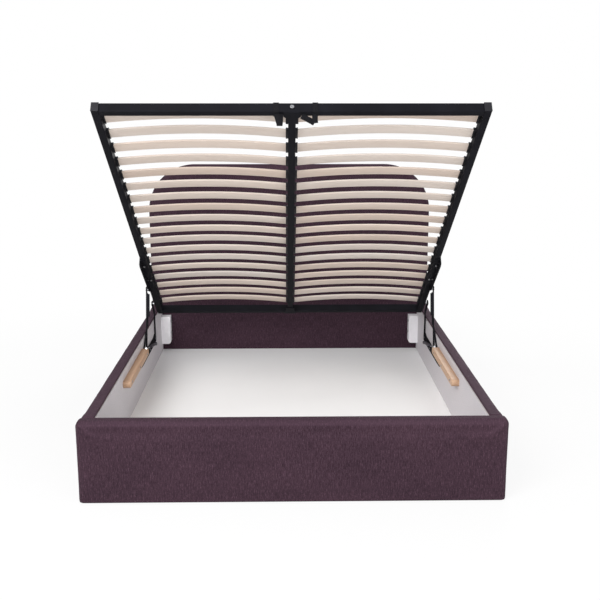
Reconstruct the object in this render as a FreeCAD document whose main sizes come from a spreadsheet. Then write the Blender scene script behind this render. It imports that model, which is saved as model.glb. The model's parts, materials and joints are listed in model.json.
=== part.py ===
import FreeCAD
import Part
import Sketcher

import math
import os

from FreeCAD import Placement, Rotation, Vector

# Upholstered storage bed, shown with its slatted platform lifted on two gas struts.
# Millimetres. The origin is on the ground under the middle of the footprint.
# X runs across the bed, Y from the foot panel to the headboard, Z up.

doc = FreeCAD.newDocument("storage_bed")
sheet = doc.addObject("Spreadsheet::Sheet", "sizes")

# Driving dimensions, each named once
DRIVING = {
    # Outer sizes of the upholstered base
    "bed_width": 1736,
    "base_height": 352,
    "inner_length": 2045,
    "foot_thickness": 65,
    "foot_overhang": 8,
    "rail_thickness": 63,
    # Layers of the upholstered panels
    "core_thickness": 22,
    "lining_thickness": 4,
    "lip_top": 9,
    "lip_bottom": 6,
    "edge_round": 22,
    "inner_round": 6,
    "hem_round": 4,
    "soft_gap": 0.3,
    "glide_height": 3,
    "glide_diameter": 40,
    "glide_inset": 32,
    # Headboard
    "head_height": 1225,
    "head_thickness": 90,
    "head_corner": 285,
    "head_edge": 28,
    "head_wrap": 24,
    "head_core_thickness": 40,
    "head_back_thickness": 5,
    "head_back_inset": 9,
    # Blocks and bolts that tie rails, foot panel and headboard together
    "head_block_width": 56,
    "head_block_depth": 60,
    "head_block_low": 112,
    "head_block_height": 174,
    "head_block_round": 15,
    "foot_block_side": 40,
    "foot_block_height": 190,
    "bolt_head": 16,
    "bolt_head_height": 5,
    # Storage floor
    "floor_level": 62,
    "floor_thickness": 6,
    "ledger_width": 25,
    "ledger_height": 30,
    "support_width": 60,
    "support_leg": 45,
    # Battens that the closed platform rests on
    "rest_level": 298,
    "batten_length": 595,
    "batten_width": 36,
    "batten_height": 34,
    "batten_gap": 116.5,
    "batten_round": 15,
    "batten_edge": 3,
    # Platform frame of rectangular tube
    "platform_gap": 30,
    "platform_length": 1990,
    "tube_width": 30,
    "tube_depth": 40,
    "tube_wall": 2,
    "tube_round": 3,
    "tube_proud": 5,
    "cap_thickness": 3,
    "tee_thickness": 4,
    "tee_reach": 48,
    "tee_width": 68,
    "tee_neck": 50,
    # Sprung slats and their holders
    "slat_width": 66,
    "slat_thickness": 8,
    "slat_bow": 21,
    "slat_head_margin": 130,
    "slat_foot_margin": 85.2,
    "slat_level": 26,
    "slat_gap": 0.4,
    "holder_reach": 14,
    "holder_wall": 3,
    "holder_back": 3,
    "holder_play": 1.6,
    # Pull strap round the foot tube
    "strap_width": 22,
    "strap_thickness": 2.5,
    "strap_left_spread": 62,
    "strap_right_spread": 90,
    "strap_drop": 46,
    "strap_slack": 0.4,
    # Lift travel, measured on the head end of the platform's underside
    "open_tilt": 36.5,
    "open_head_gap": 385,
    "open_head_level": 386,
    "closed_head_gap": 46,
    # Arm pins on the platform, from its head end and above its underside
    "front_pin_distance": 310,
    "front_pin_rise": 15,
    "rear_pin_distance": 90,
    "rear_pin_rise": 24,
    "front_pivot_level": 235,
    "rear_pivot_level": 228,
    # Lift arms, brackets and pins
    "arm_thickness": 5,
    "arm_width": 24,
    "arm_eye": 32,
    "web_width": 44,
    "web_height": 185,
    "arm_flange_start": 205,
    "arm_flange_length": 125,
    "arm_flange_reach": 15.5,
    "arm_flange_thickness": 4,
    "side_gap": 0.5,
    "lever_apex_height": 150,
    "lever_reach": 94,
    "lever_rise": 30,
    "lever_width": 15,
    "knee_height": 150,
    "knee_offset": 45,
    "lower_bracket_thickness": 3,
    "lower_bracket_height": 60,
    "lower_bracket_drop": 37,
    "lower_bracket_ahead": 205,
    "lower_bracket_behind": 28,
    "upper_bracket_thickness": 4,
    "upper_flange_length": 300,
    "upper_bracket_length": 680,
    "upper_bracket_start": 25,
    "upper_bracket_drop": 32,
    "upper_bracket_rise": 36,
    "pin_diameter": 10,
    "pin_head": 20,
    "pin_head_height": 2,
    "pin_collar": 16,
    "pin_gap": 0.05,
    "screw_head": 11,
    "screw_head_height": 2.2,
    "screw_inset": 16,
    # Gas struts
    "strut_anchor_ahead": 66,
    "strut_anchor_drop": 13,
    "strut_diameter": 16,
    "strut_bore": 12,
    "strut_length": 190,
    "strut_neck": 14,
    "strut_neck_diameter": 9,
    "strut_wall": 8,
    "rod_diameter": 8,
    "piston_length": 10,
    "piston_gap": 0.3,
    "eye_diameter": 20,
    "eye_thickness": 10,
}

SLATS_PER_SIDE = 18
HALF_SHARE = 0.5
# Two places closer than this are the same
SAME = 1e-4
# Where repeated small pieces sit, as shares of the piece that carries them
FOOT_GLIDE_SHARES = (0.06, 0.35, 0.65, 0.94)
RAIL_GLIDE_SHARES = (0.3, 0.75)
HEAD_GLIDE_SHARES = (0.08, 0.5, 0.92)
SUPPORT_LEG_SHARES = (0.15, 0.5, 0.85)
HEAD_BOLT_SHARES = (0.4, 0.8)
FOOT_BOLT_SHARES = (0.25, 0.75)
BRACKET_SCREW_SHARES = (0.1, 0.28, 0.62, 0.74)
BATTEN_SCREW_SHARES = (0.1, 0.5, 0.9)
# An upper bracket's outline: shares of its length from the head end, then of its drop or rise
UPPER_OUTLINE_SHARES = [
    (1.0, 1.0),
    (1.0, -0.8),
    (0.97, -1.0),
    (0.5, -0.7),
    (0.42, 0.0),
    (0.0, 0.0),
    (0.0, 1.0),
]
# Screws under an upper bracket: shares of its flange from the foot end, then of the tube's width
FLANGE_SCREW_SHARES = ((0.22, 0.6), (0.78, 0.22), (0.78, 0.78))
# A lower bracket's outline: shares of its length from the foot end, then of its height
LOWER_OUTLINE_SHARES = [
    (0.0, 0.3),
    (0.05, 0.08),
    (0.16, 0.0),
    (1.0, 0.0),
    (1.0, 1.0),
    (0.9, 1.0),
    (0.84, 0.86),
    (0.2, 0.86),
    (0.06, 0.56),
]
# The hanging ends of the strap: shares of a span from the bracket, then of the drop.
# The left end is a closed fold, the right one an open loop.
STRAP_FOLD_SHARES = [
    (0.0, 0.42),
    (0.06, 0.04),
    (0.12, 0.0),
    (0.6, 0.0),
    (0.66, 0.04),
    (0.7, 0.4),
    (1.0, 0.74),
    (1.0, 1.0),
    (0.0, 1.0),
]
STRAP_LOOP_SHARES = [
    (0.0, 0.66),
    (0.62, 0.08),
    (0.68, 0.1),
    (0.95, 0.24),
    (1.0, 0.36),
    (1.0, 1.0),
    (0.67, 1.0),
    (0.67, 0.55),
    (0.0, 0.97),
]


class Size:
    """A length of the sheet, or a sum of them, that knows its expression."""

    def __init__(self, value, text):
        self.value = float(value)
        self.text = text

    def __float__(self):
        return self.value

    def joined(self, sign, other, value):
        other_text = other.text if isinstance(other, Size) else repr(other)
        return Size(value, f"({self.text} {sign} {other_text})")

    def __add__(self, other):
        return self.joined("+", other, self.value + float(other))

    def __sub__(self, other):
        return self.joined("-", other, self.value - float(other))

    def __mul__(self, other):
        return self.joined("*", other, self.value * float(other))


class Sizes:
    """Every named length, as an attribute."""

    def __init__(self):
        self.count = 0

    def keep(self, name, value):
        """Write one number to the sheet under its alias."""
        self.count += 1
        sheet.set(f"A{self.count}", name)
        sheet.set(f"B{self.count}", repr(float(value)))
        sheet.setAlias(f"B{self.count}", name)
        setattr(self, name, Size(value, f"sizes.{name}"))


ZERO = Size(0, "0")
s = Sizes()
for size_name, size_value in DRIVING.items():
    s.keep(size_name, size_value)

# Faces and levels that several pieces share
s.keep("total_length", s.foot_thickness + s.inner_length + s.head_thickness)
s.keep("panel_height", s.base_height - s.glide_height)
s.keep("core_height", s.panel_height - s.lip_top - s.lip_bottom)
s.keep("core_low", s.glide_height + s.lip_bottom)
s.keep("outer_half", s.bed_width * HALF_SHARE)
s.keep("core_inside", s.outer_half - s.rail_thickness + s.lining_thickness)
s.keep("inner_half", s.outer_half - s.rail_thickness)
s.keep("tube_outside", s.inner_half - s.platform_gap)
s.keep("tube_inside", s.tube_outside - s.tube_width)
s.keep("beam_half", s.tube_width * HALF_SHARE)
FOOT_FACE = -float(s.total_length * HALF_SHARE)
FOOT_INSIDE = FOOT_FACE + float(s.foot_thickness)
HEAD_FACE = FOOT_INSIDE + float(s.inner_length)

# Layers of the lift between a lining and the platform, as distances from the middle plane
s.keep("arm_outside", s.inner_half - s.lower_bracket_thickness - s.side_gap)
s.keep("arm_inside", s.arm_outside - s.arm_thickness)
s.keep("strut_middle", s.arm_inside - s.side_gap - s.strut_diameter * HALF_SHARE)
s.keep("bracket_outside", s.tube_outside + s.upper_bracket_thickness)


# The lift: the platform is carried by two pairs of arms, open or closed

def platform_spot(head, tilt, along, rise):
    """Y and Z of a point of the platform, from its head end and above its underside."""
    cosine = math.cos(tilt)
    sine = math.sin(tilt)
    y = head[0] - float(along) * cosine + float(rise) * sine
    z = head[1] + float(along) * sine + float(rise) * cosine
    return y, z


def ground_pivot(first, second, level):
    """The point at a level that lies equally far from both places of an arm's pin."""
    middle_y = (first[0] + second[0]) / 2
    middle_z = (first[1] + second[1]) / 2
    slope = (second[1] - first[1]) / (second[0] - first[0])
    return middle_y - (float(level) - middle_z) * slope, float(level)


def bearing(start, end):
    """Angle of a line in the Y-Z plane, in degrees from Y towards Z."""
    return math.degrees(math.atan2(end[1] - start[1], end[0] - start[0]))


def swung(pivot, radius, angle):
    """The end of a radius at an angle in degrees."""
    turn = math.radians(angle)
    return pivot[0] + radius * math.cos(turn), pivot[1] + radius * math.sin(turn)


TILT = math.radians(float(s.open_tilt))
HEAD_OPEN = (HEAD_FACE - float(s.open_head_gap), float(s.open_head_level))
HEAD_CLOSED = (HEAD_FACE - float(s.closed_head_gap), float(s.rest_level))
FRONT_PIN = platform_spot(HEAD_OPEN, TILT, s.front_pin_distance, s.front_pin_rise)
FRONT_PIN_CLOSED = platform_spot(HEAD_CLOSED, 0, s.front_pin_distance, s.front_pin_rise)
REAR_PIN = platform_spot(HEAD_OPEN, TILT, s.rear_pin_distance, s.rear_pin_rise)
REAR_PIN_CLOSED = platform_spot(HEAD_CLOSED, 0, s.rear_pin_distance, s.rear_pin_rise)
FRONT_PIVOT = ground_pivot(FRONT_PIN, FRONT_PIN_CLOSED, s.front_pivot_level)
REAR_PIVOT = ground_pivot(REAR_PIN, REAR_PIN_CLOSED, s.rear_pivot_level)
FRONT_ANGLE = bearing(FRONT_PIVOT, FRONT_PIN)
REAR_ANGLE = bearing(REAR_PIVOT, REAR_PIN)
FRONT_SWING = FRONT_ANGLE - bearing(FRONT_PIVOT, FRONT_PIN_CLOSED)
REAR_SWING = REAR_ANGLE - bearing(REAR_PIVOT, REAR_PIN_CLOSED)
s.keep("front_arm_length", math.dist(FRONT_PIVOT, FRONT_PIN))
s.keep("rear_arm_length", math.dist(REAR_PIVOT, REAR_PIN))

# Each strut pushes the lever leg of a front arm from behind
LEVER_RADIUS = math.hypot(float(s.lever_reach), float(s.lever_rise))
LEVER_LEAD = math.degrees(math.atan2(float(s.lever_reach), float(s.lever_rise)))
LEVER_EYE = swung(FRONT_PIVOT, LEVER_RADIUS, FRONT_ANGLE + LEVER_LEAD)
LEVER_EYE_CLOSED = swung(FRONT_PIVOT, LEVER_RADIUS, FRONT_ANGLE + LEVER_LEAD - FRONT_SWING)
STRUT_ANCHOR = (REAR_PIVOT[0] - float(s.strut_anchor_ahead), REAR_PIVOT[1] - float(s.strut_anchor_drop))
STRUT_ANGLE = bearing(STRUT_ANCHOR, LEVER_EYE)
STRUT_SWING = STRUT_ANGLE - bearing(STRUT_ANCHOR, LEVER_EYE_CLOSED)
s.keep("strut_open", math.dist(STRUT_ANCHOR, LEVER_EYE))
s.keep("strut_stroke", float(s.strut_open) - math.dist(STRUT_ANCHOR, LEVER_EYE_CLOSED))

PLATFORM = Placement(Vector(0, *HEAD_OPEN), Rotation(Vector(1, 0, 0), -float(s.open_tilt)))
HALF_TURN = Rotation(Vector(0, 0, 1), 180)
ALONG_X = Rotation(Vector(0, 1, 0), 90)
ALONG_Y = Rotation(Vector(1, 0, 0), -90)

finished = []


# Drawing helpers

def spot(x, y, z):
    return Vector(float(x), float(y), float(z))


def bind(item, name, size):
    """Tie a property to the sheet."""
    item.setExpression(name, size.text)


def done(item, label, placement=None):
    """Name a finished sub-part and put it in its place."""
    item.Label = label
    if placement is not None:
        item.Placement = placement
    finished.append(item)
    return item


def new_body(name):
    return doc.addObject("PartDesign::Body", name)


def origin_part(body, role):
    return next(part for part in body.Origin.OriginFeatures if part.Role == role)


def new_sketch(body, role, outline=None, depth=None):
    """A sketch on one of the body's planes, with a closed outline if given, moved by a depth."""
    sketch = body.newObject("Sketcher::SketchObject", "outline")
    sketch.AttachmentSupport = (origin_part(body, role), "")
    sketch.MapMode = "FlatFace"
    if depth is not None:
        sketch.AttachmentOffset = Placement(Vector(0, 0, -float(depth)), Rotation())
        sketch.setExpression("AttachmentOffset.Base.z", f"-{depth.text}")
    if outline is not None:
        draw_outline(sketch, outline)
    return sketch


def tie_corner(sketch, kind, axis, line, place):
    """Tie one coordinate of a line's start to the sheet."""
    if float(place) == 0:
        sketch.addConstraint(Sketcher.Constraint("PointOnObject", line, 1, axis))
        return
    index = sketch.addConstraint(Sketcher.Constraint(kind, -1, 1, line, 1, float(place)))
    sketch.setExpression(f"Constraints[{index}]", place.text)


def draw_outline(sketch, points):
    """A closed polygon whose corners are tied to the sheet."""
    first = sketch.GeometryCount
    count = len(points)
    spots = [spot(x, y, 0) for x, y in points]
    for index in range(count):
        sketch.addGeometry(Part.LineSegment(spots[index], spots[(index + 1) % count]))
    for index in range(count):
        following = first + (index + 1) % count
        sketch.addConstraint(Sketcher.Constraint("Coincident", first + index, 2, following, 1))
    for index, (x, y) in enumerate(points):
        tie_corner(sketch, "DistanceX", -2, first + index, x)
        tie_corner(sketch, "DistanceY", -1, first + index, y)


def rectangle(left, low, width, height):
    return [(left, low), (left + width, low), (left + width, low + height), (left, low + height)]


def draw_circle(sketch, x, y, diameter):
    """A circle whose size is tied to the sheet."""
    index = sketch.addGeometry(Part.Circle(spot(x, y, 0), Vector(0, 0, 1), float(diameter) / 2))
    size_index = sketch.addConstraint(Sketcher.Constraint("Diameter", index, float(diameter)))
    sketch.setExpression(f"Constraints[{size_index}]", diameter.text)
    sketch.addConstraint(Sketcher.Constraint("DistanceX", -1, 1, index, 3, float(x)))
    sketch.addConstraint(Sketcher.Constraint("DistanceY", -1, 1, index, 3, float(y)))


def extrude(body, sketch, length, reverse=False, kind="Pad"):
    """Pad or pocket a sketch and make it the body's tip."""
    feature = body.newObject(f"PartDesign::{kind}", kind.lower())
    feature.Profile = sketch
    bind(feature, "Length", length)
    feature.Reversed = reverse
    body.Tip = feature
    doc.recompute()
    return feature


def pocket(body, sketch, depth):
    """Cut towards the sketch's face normal and make sure that something was cut."""
    before = body.Tip.Shape.Volume
    feature = extrude(body, sketch, depth, True, "Pocket")
    if feature.Shape.Volume >= before:
        raise RuntimeError(f"{body.Name}: the pocket cuts nothing")


def soften(body, radius, chosen):
    """Round the edges that the test picks."""
    base = body.Tip
    names = [f"Edge{index}" for index, edge in enumerate(base.Shape.Edges, 1) if chosen(edge)]
    fillet = body.newObject("PartDesign::Fillet", "fillet")
    fillet.Base = (base, names)
    bind(fillet, "Radius", radius)
    body.Tip = fillet
    doc.recompute()


def near(first, second):
    return abs(float(first) - float(second)) < SAME


def runs(edge, axis):
    """True for a straight edge along one axis, given as 0, 1 or 2."""
    if edge.Degenerated or not isinstance(edge.Curve, Part.Line):
        return False
    return near(abs(edge.tangentAt(edge.FirstParameter)[axis]), 1)


def lies(edge, **levels):
    """True where an edge lies at the given x, y or z."""
    box = edge.BoundBox
    limits = {"x": (box.XMin, box.XMax), "y": (box.YMin, box.YMax), "z": (box.ZMin, box.ZMax)}
    return all(near(low, levels[axis]) and near(high, levels[axis])
               for axis, (low, high) in limits.items() if axis in levels)


def repeat(body, features, axis, pitch, count):
    """Repeat features in a row along one of the body's axes."""
    row = body.newObject("PartDesign::LinearPattern", "row")
    row.Originals = features
    row.Direction = (origin_part(body, axis), [""])
    bind(row, "Length", pitch * (count - 1))
    row.Occurrences = count
    body.Tip = row
    doc.recompute()


def block(name, length, width, height, corner, turn=Rotation()):
    """A plain rectangular block from its low corner."""
    item = doc.addObject("Part::Box", name)
    bind(item, "Length", length)
    bind(item, "Width", width)
    bind(item, "Height", height)
    item.Placement = Placement(corner, turn)
    return item


def round_bar(name, diameter, length, start, turn=Rotation()):
    """A round bar from its start, upright unless turned."""
    item = doc.addObject("Part::Cylinder", name)
    bind(item, "Radius", diameter * HALF_SHARE)
    bind(item, "Height", length)
    item.Placement = Placement(start, turn)
    return item


def fused(name, items):
    item = doc.addObject("Part::MultiFuse", name)
    item.Shapes = items
    return item


def drilled(name, base, tools):
    tool = tools[0] if len(tools) == 1 else fused(f"{name}_holes", tools)
    item = doc.addObject("Part::Cut", name)
    item.Base = base
    item.Tool = tool
    return item


def group(name, items):
    item = doc.addObject("Part::Compound", name)
    item.Links = items
    return item


SIDES = {"left": -1, "right": 1}


def beside(side, inner, outer):
    """Least X of a layer that lies between two distances from the middle plane."""
    return float(inner) if side > 0 else -float(outer)


def cross_bar(name, diameter, side, inner, outer, place):
    """A round bar across the bed, between two distances from the middle plane."""
    return round_bar(name, diameter, outer - inner, Vector(beside(side, inner, outer), *place), ALONG_X)


# Upholstered base

def rail_cover(name, side):
    """Padded cover of a side rail: a wall with a lip over and under the board behind it."""
    wall = s.rail_thickness - s.core_thickness - s.lining_thickness - s.soft_gap
    low = s.lip_bottom - s.soft_gap
    high = s.panel_height - s.lip_top + s.soft_gap
    body = new_body(name)
    profile = [
        (ZERO, ZERO),
        (s.rail_thickness, ZERO),
        (s.rail_thickness, low),
        (wall, low),
        (wall, high),
        (s.rail_thickness, high),
        (s.rail_thickness, s.panel_height),
        (ZERO, s.panel_height),
    ]
    length = s.inner_length - s.soft_gap - s.soft_gap
    extrude(body, new_sketch(body, "XZ_Plane", profile), length, True)
    top = s.panel_height
    soften(body, s.edge_round, lambda edge: runs(edge, 1) and lies(edge, x=0, z=top))
    soften(body, s.inner_round, lambda edge: runs(edge, 1) and lies(edge, x=s.rail_thickness, z=top))
    soften(body, s.hem_round, lambda edge: runs(edge, 1) and lies(edge, x=0, z=0))
    if side < 0:
        start = FOOT_INSIDE + s.soft_gap.value
        place = Placement(spot(-s.outer_half.value, start, s.glide_height), Rotation())
    else:
        place = Placement(spot(s.outer_half, HEAD_FACE - s.soft_gap.value, s.glide_height), HALF_TURN)
    done(body, name, place)


def foot_cover():
    """Padded cover of the foot panel, rounded at the front corners and hollow behind for its board."""
    body = new_body("foot_cover")
    width = s.bed_width + s.foot_overhang + s.foot_overhang
    plan = rectangle(ZERO, ZERO, width, s.foot_thickness)
    extrude(body, new_sketch(body, "XY_Plane", plan), s.panel_height)

    def outer(edge):
        upright = runs(edge, 2) and lies(edge, y=0)
        top = lies(edge, z=s.panel_height) and not lies(edge, y=s.foot_thickness)
        return upright or top

    soften(body, s.edge_round, outer)
    behind = s.foot_thickness
    soften(body, s.inner_round, lambda edge: runs(edge, 0) and lies(edge, y=behind, z=s.panel_height))
    soften(body, s.hem_round, lambda edge: runs(edge, 0) and lies(edge, y=0, z=0))
    wall = s.foot_overhang + s.rail_thickness - s.core_thickness - s.lining_thickness - s.soft_gap
    low = s.lip_bottom - s.soft_gap
    hollow = rectangle(wall, low, width - wall - wall, s.core_height + s.soft_gap + s.soft_gap)
    sketch = new_sketch(body, "XZ_Plane", hollow, s.foot_thickness)
    pocket(body, sketch, s.core_thickness + s.soft_gap)
    left = -(s.outer_half + s.foot_overhang).value
    done(body, "foot_cover", Placement(spot(left, FOOT_FACE, s.glide_height), Rotation()))


def base_boards():
    """Boards and linings behind the padded covers."""
    board = s.outer_half - s.rail_thickness + s.core_thickness + s.lining_thickness
    width = board + board
    corner = spot(-board.value, FOOT_INSIDE - s.core_thickness.value, s.core_low)
    done(block("foot_core", width, s.core_thickness, s.core_height, corner), "foot_core")
    corner = spot(-s.inner_half.value, FOOT_INSIDE, s.core_low)
    lining = block("foot_lining", s.inner_half + s.inner_half, s.lining_thickness, s.core_height, corner)
    done(lining, "foot_lining")
    for name, side in SIDES.items():
        corner = spot(beside(side, s.core_inside, board), FOOT_INSIDE, s.core_low)
        core = block(f"{name}_rail_core", s.core_thickness, s.inner_length, s.core_height, corner)
        done(core, f"{name}_rail_core")
        corner = spot(beside(side, s.inner_half, s.core_inside), FOOT_INSIDE, s.core_low)
        lining = block(f"{name}_lining", s.lining_thickness, s.inner_length, s.core_height, corner)
        done(lining, f"{name}_lining")


def head_panel(name, inset, low, thickness, corner_radius):
    """A board with the headboard's outline, drawn in by an inset."""
    body = new_body(name)
    width = s.bed_width - inset - inset
    height = s.head_height - s.glide_height - low - inset
    extrude(body, new_sketch(body, "XZ_Plane", rectangle(ZERO, ZERO, width, height)), thickness, True)
    soften(body, corner_radius, lambda edge: runs(edge, 1) and lies(edge, z=height))
    return body


def headboard():
    """Headboard: a padded cover with large round corners over a board, and a cloth-covered back."""
    depth = s.head_thickness - s.head_back_thickness
    cover = head_panel("headboard_padding", ZERO, ZERO, depth, s.head_corner)
    soften(cover, s.head_edge, lambda edge: lies(edge, y=0) and not lies(edge, z=0))
    soften(cover, s.edge_round, lambda edge: lies(edge, y=depth) and not lies(edge, z=0))
    inner_corner = s.head_corner - s.head_wrap
    sunk = s.head_core_thickness + s.soft_gap
    hollow = head_panel("headboard_hollow", s.head_wrap, s.lip_bottom, sunk, inner_corner)
    hollow.Placement = Placement(spot(s.head_wrap, depth - sunk, s.lip_bottom), Rotation())
    cover = drilled("headboard_cover", cover, [hollow])
    place = Placement(spot(-s.outer_half.value, HEAD_FACE, s.glide_height), Rotation())
    done(cover, "headboard_cover", place)

    inset = s.head_wrap + s.soft_gap
    low = s.lip_bottom + s.soft_gap
    core = head_panel("headboard_core", inset, low, s.head_core_thickness, inner_corner - s.soft_gap)
    start = HEAD_FACE + depth.value - s.head_core_thickness.value
    left = inset.value - s.outer_half.value
    done(core, "headboard_core", Placement(spot(left, start, s.glide_height + low), Rotation()))

    inset = s.head_back_inset
    back = head_panel("headboard_back", inset, inset, s.head_back_thickness, s.head_corner - inset)
    left = inset.value - s.outer_half.value
    place = Placement(spot(left, HEAD_FACE + depth.value, s.glide_height + inset), Rotation())
    done(back, "headboard_back", place)


def corner_blocks():
    """Wrapped blocks at the head corners, wooden blocks at the foot corners, and their bolts."""
    bolts = []
    for name, side in SIDES.items():
        body = new_body(f"{name}_head_block")
        face = rectangle(ZERO, ZERO, s.head_block_width, s.head_block_height)
        extrude(body, new_sketch(body, "XZ_Plane", face), s.head_block_depth, True)
        soften(body, s.head_block_round, lambda edge: runs(edge, 1) and lies(edge, x=s.head_block_width, z=0))
        front = HEAD_FACE - s.soft_gap.value - s.head_block_depth.value
        if side < 0:
            place = Placement(spot(-s.inner_half.value, front, s.head_block_low), Rotation())
        else:
            place = Placement(spot(s.inner_half, HEAD_FACE - s.soft_gap.value, s.head_block_low), HALF_TURN)
        done(body, f"{name}_head_block", place)

        inner = s.inner_half - s.foot_block_side
        behind = FOOT_INSIDE + s.lining_thickness.value
        corner = spot(beside(side, inner, s.inner_half), behind, s.floor_level)
        stump = block(f"{name}_foot_block", s.foot_block_side, s.foot_block_side, s.foot_block_height, corner)
        done(stump, f"{name}_foot_block")

        block_face = s.inner_half - s.head_block_width
        middle = HEAD_FACE - s.soft_gap.value - s.head_block_depth.value * HALF_SHARE
        foot_x = side * (s.inner_half.value - s.foot_block_side.value * HALF_SHARE)
        for share in HEAD_BOLT_SHARES:
            z = s.head_block_low.value + share * s.head_block_height.value
            inner = block_face - s.bolt_head_height
            bolts.append(cross_bar("head_bolt", s.bolt_head, side, inner, block_face, (middle, z)))
        for share in FOOT_BOLT_SHARES:
            z = s.floor_level.value + share * s.foot_block_height.value
            start = Vector(foot_x, behind + s.foot_block_side.value, z)
            bolts.append(round_bar("foot_bolt", s.bolt_head, s.bolt_head_height, start, ALONG_Y))
    done(group("frame_bolts", bolts), "frame_bolts")


def glides():
    """Round glides under the foot panel, the rails and the headboard."""
    width = s.bed_width.value
    places = []
    for share in FOOT_GLIDE_SHARES:
        places.append(((share - HALF_SHARE) * width, FOOT_FACE + s.glide_inset.value))
    for share in HEAD_GLIDE_SHARES:
        places.append(((share - HALF_SHARE) * width, HEAD_FACE + s.head_thickness.value * HALF_SHARE))
    for side in SIDES.values():
        for share in RAIL_GLIDE_SHARES:
            x = side * (s.outer_half.value - s.glide_inset.value)
            places.append((x, FOOT_INSIDE + share * s.inner_length.value))
    height = s.glide_height - s.soft_gap
    discs = [round_bar("glide", s.glide_diameter, height, Vector(x, y, 0)) for x, y in places]
    done(group("glides", discs), "glides")


def storage_floor():
    """Two floor panels on side ledgers and a middle support."""
    start = FOOT_INSIDE + s.lining_thickness.value
    length = s.inner_length - s.lining_thickness - s.soft_gap
    under = s.floor_level - s.floor_thickness
    ledger_low = under - s.ledger_height
    for name, side in SIDES.items():
        corner = spot(beside(side, ZERO, s.inner_half), start, under)
        panel = block(f"{name}_floor_panel", s.inner_half, length, s.floor_thickness, corner)
        done(panel, f"{name}_floor_panel")
        corner = spot(beside(side, s.inner_half - s.ledger_width, s.inner_half), start, ledger_low)
        ledger = block(f"{name}_ledger", s.ledger_width, length, s.ledger_height, corner)
        done(ledger, f"{name}_ledger")
    corner = spot(-s.support_width.value * HALF_SHARE, start, ledger_low)
    support = block("floor_support", s.support_width, length, s.ledger_height, corner)
    done(support, "floor_support")
    legs = []
    for share in SUPPORT_LEG_SHARES:
        legs.append(round_bar("leg", s.support_leg, ledger_low, Vector(0, start + share * length.value, 0)))
    done(group("support_legs", legs), "support_legs")


def batten_start():
    """Least Y of the battens, which end ahead of the front arms."""
    return FRONT_PIVOT[0] - s.batten_gap.value - s.batten_length.value


def battens():
    """Round-ended battens on the linings, which the closed platform rests on."""
    inner = s.inner_half - s.batten_width
    start = batten_start()
    low = s.rest_level.value - s.batten_height.value
    for name, side in SIDES.items():
        body = new_body(f"{name}_batten")
        face = rectangle(ZERO, ZERO, s.batten_length, s.batten_height)
        extrude(body, new_sketch(body, "YZ_Plane", face), s.batten_width)
        soften(body, s.batten_round, lambda edge: runs(edge, 0))
        free = s.batten_width if side < 0 else ZERO
        soften(body, s.batten_edge, lambda edge: lies(edge, x=free))
        corner = spot(beside(side, inner, s.inner_half), start, low)
        done(body, f"{name}_batten", Placement(corner, Rotation()))


# Lift brackets, arms and struts

def lower_bracket_span():
    """Start in Y and in Z, and length, of the lower brackets."""
    start = FRONT_PIVOT[0] - s.lower_bracket_ahead.value
    end = REAR_PIVOT[0] + s.lower_bracket_behind.value
    return start, FRONT_PIVOT[1] - s.lower_bracket_drop.value, end - start


def lower_brackets():
    """Plates on the linings that carry the arms and the struts."""
    start, low, length = lower_bracket_span()
    s.keep("lower_bracket_length", length)
    hole = s.pin_diameter + s.pin_gap + s.pin_gap
    outline = [(s.lower_bracket_length * x, s.lower_bracket_height * z) for x, z in LOWER_OUTLINE_SHARES]
    outline = [(x if float(x) else ZERO, z if float(z) else ZERO) for x, z in outline]
    for name, side in SIDES.items():
        body = new_body(f"{name}_lower_bracket")
        sketch = new_sketch(body, "YZ_Plane", outline)
        for pivot in (FRONT_PIVOT, REAR_PIVOT, STRUT_ANCHOR):
            draw_circle(sketch, pivot[0] - start, pivot[1] - low, hole)
        extrude(body, sketch, s.lower_bracket_thickness)
        inner = s.inner_half - s.lower_bracket_thickness
        corner = spot(beside(side, inner, s.inner_half), start, low)
        done(body, f"{name}_lower_bracket", Placement(corner, Rotation()))


def rail_screws():
    """Screw heads on the lower brackets and the battens."""
    heads = []
    start, low, length = lower_bracket_span()
    plate = s.inner_half - s.lower_bracket_thickness
    level = low + s.screw_inset.value
    batten = s.inner_half - s.batten_width
    batten_level = s.rest_level.value - s.batten_height.value * HALF_SHARE
    for side in SIDES.values():
        for share in BRACKET_SCREW_SHARES:
            place = (start + share * length, level)
            heads.append(cross_bar("screw", s.screw_head, side, plate - s.screw_head_height, plate, place))
        for share in BATTEN_SCREW_SHARES:
            place = (batten_start() + share * s.batten_length.value, batten_level)
            heads.append(cross_bar("screw", s.screw_head, side, batten - s.screw_head_height, batten, place))
    done(group("rail_screws", heads), "rail_screws")


def ground_pins():
    """Pins of the arms and struts in the lower brackets."""
    pins = []
    gap = s.side_gap * HALF_SHARE
    eye_inside = s.strut_middle - s.eye_thickness * HALF_SHARE
    for side in SIDES.values():
        for pivot in (FRONT_PIVOT, REAR_PIVOT):
            shank = cross_bar("shank", s.pin_diameter, side, s.arm_inside - gap, s.inner_half, pivot)
            head_inside = s.arm_inside - gap - s.pin_head_height
            head = cross_bar("head", s.pin_head, side, head_inside, s.arm_inside - gap, pivot)
            pins.append(fused("arm_pin", [shank, head]))
        shank = cross_bar("shank", s.pin_diameter, side, eye_inside - gap, s.inner_half, STRUT_ANCHOR)
        head_inside = eye_inside - gap - s.pin_head_height
        head = cross_bar("head", s.pin_collar, side, head_inside, eye_inside - gap, STRUT_ANCHOR)
        pins.append(fused("strut_pin", [shank, head]))
    done(group("ground_pins", pins), "ground_pins")


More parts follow.
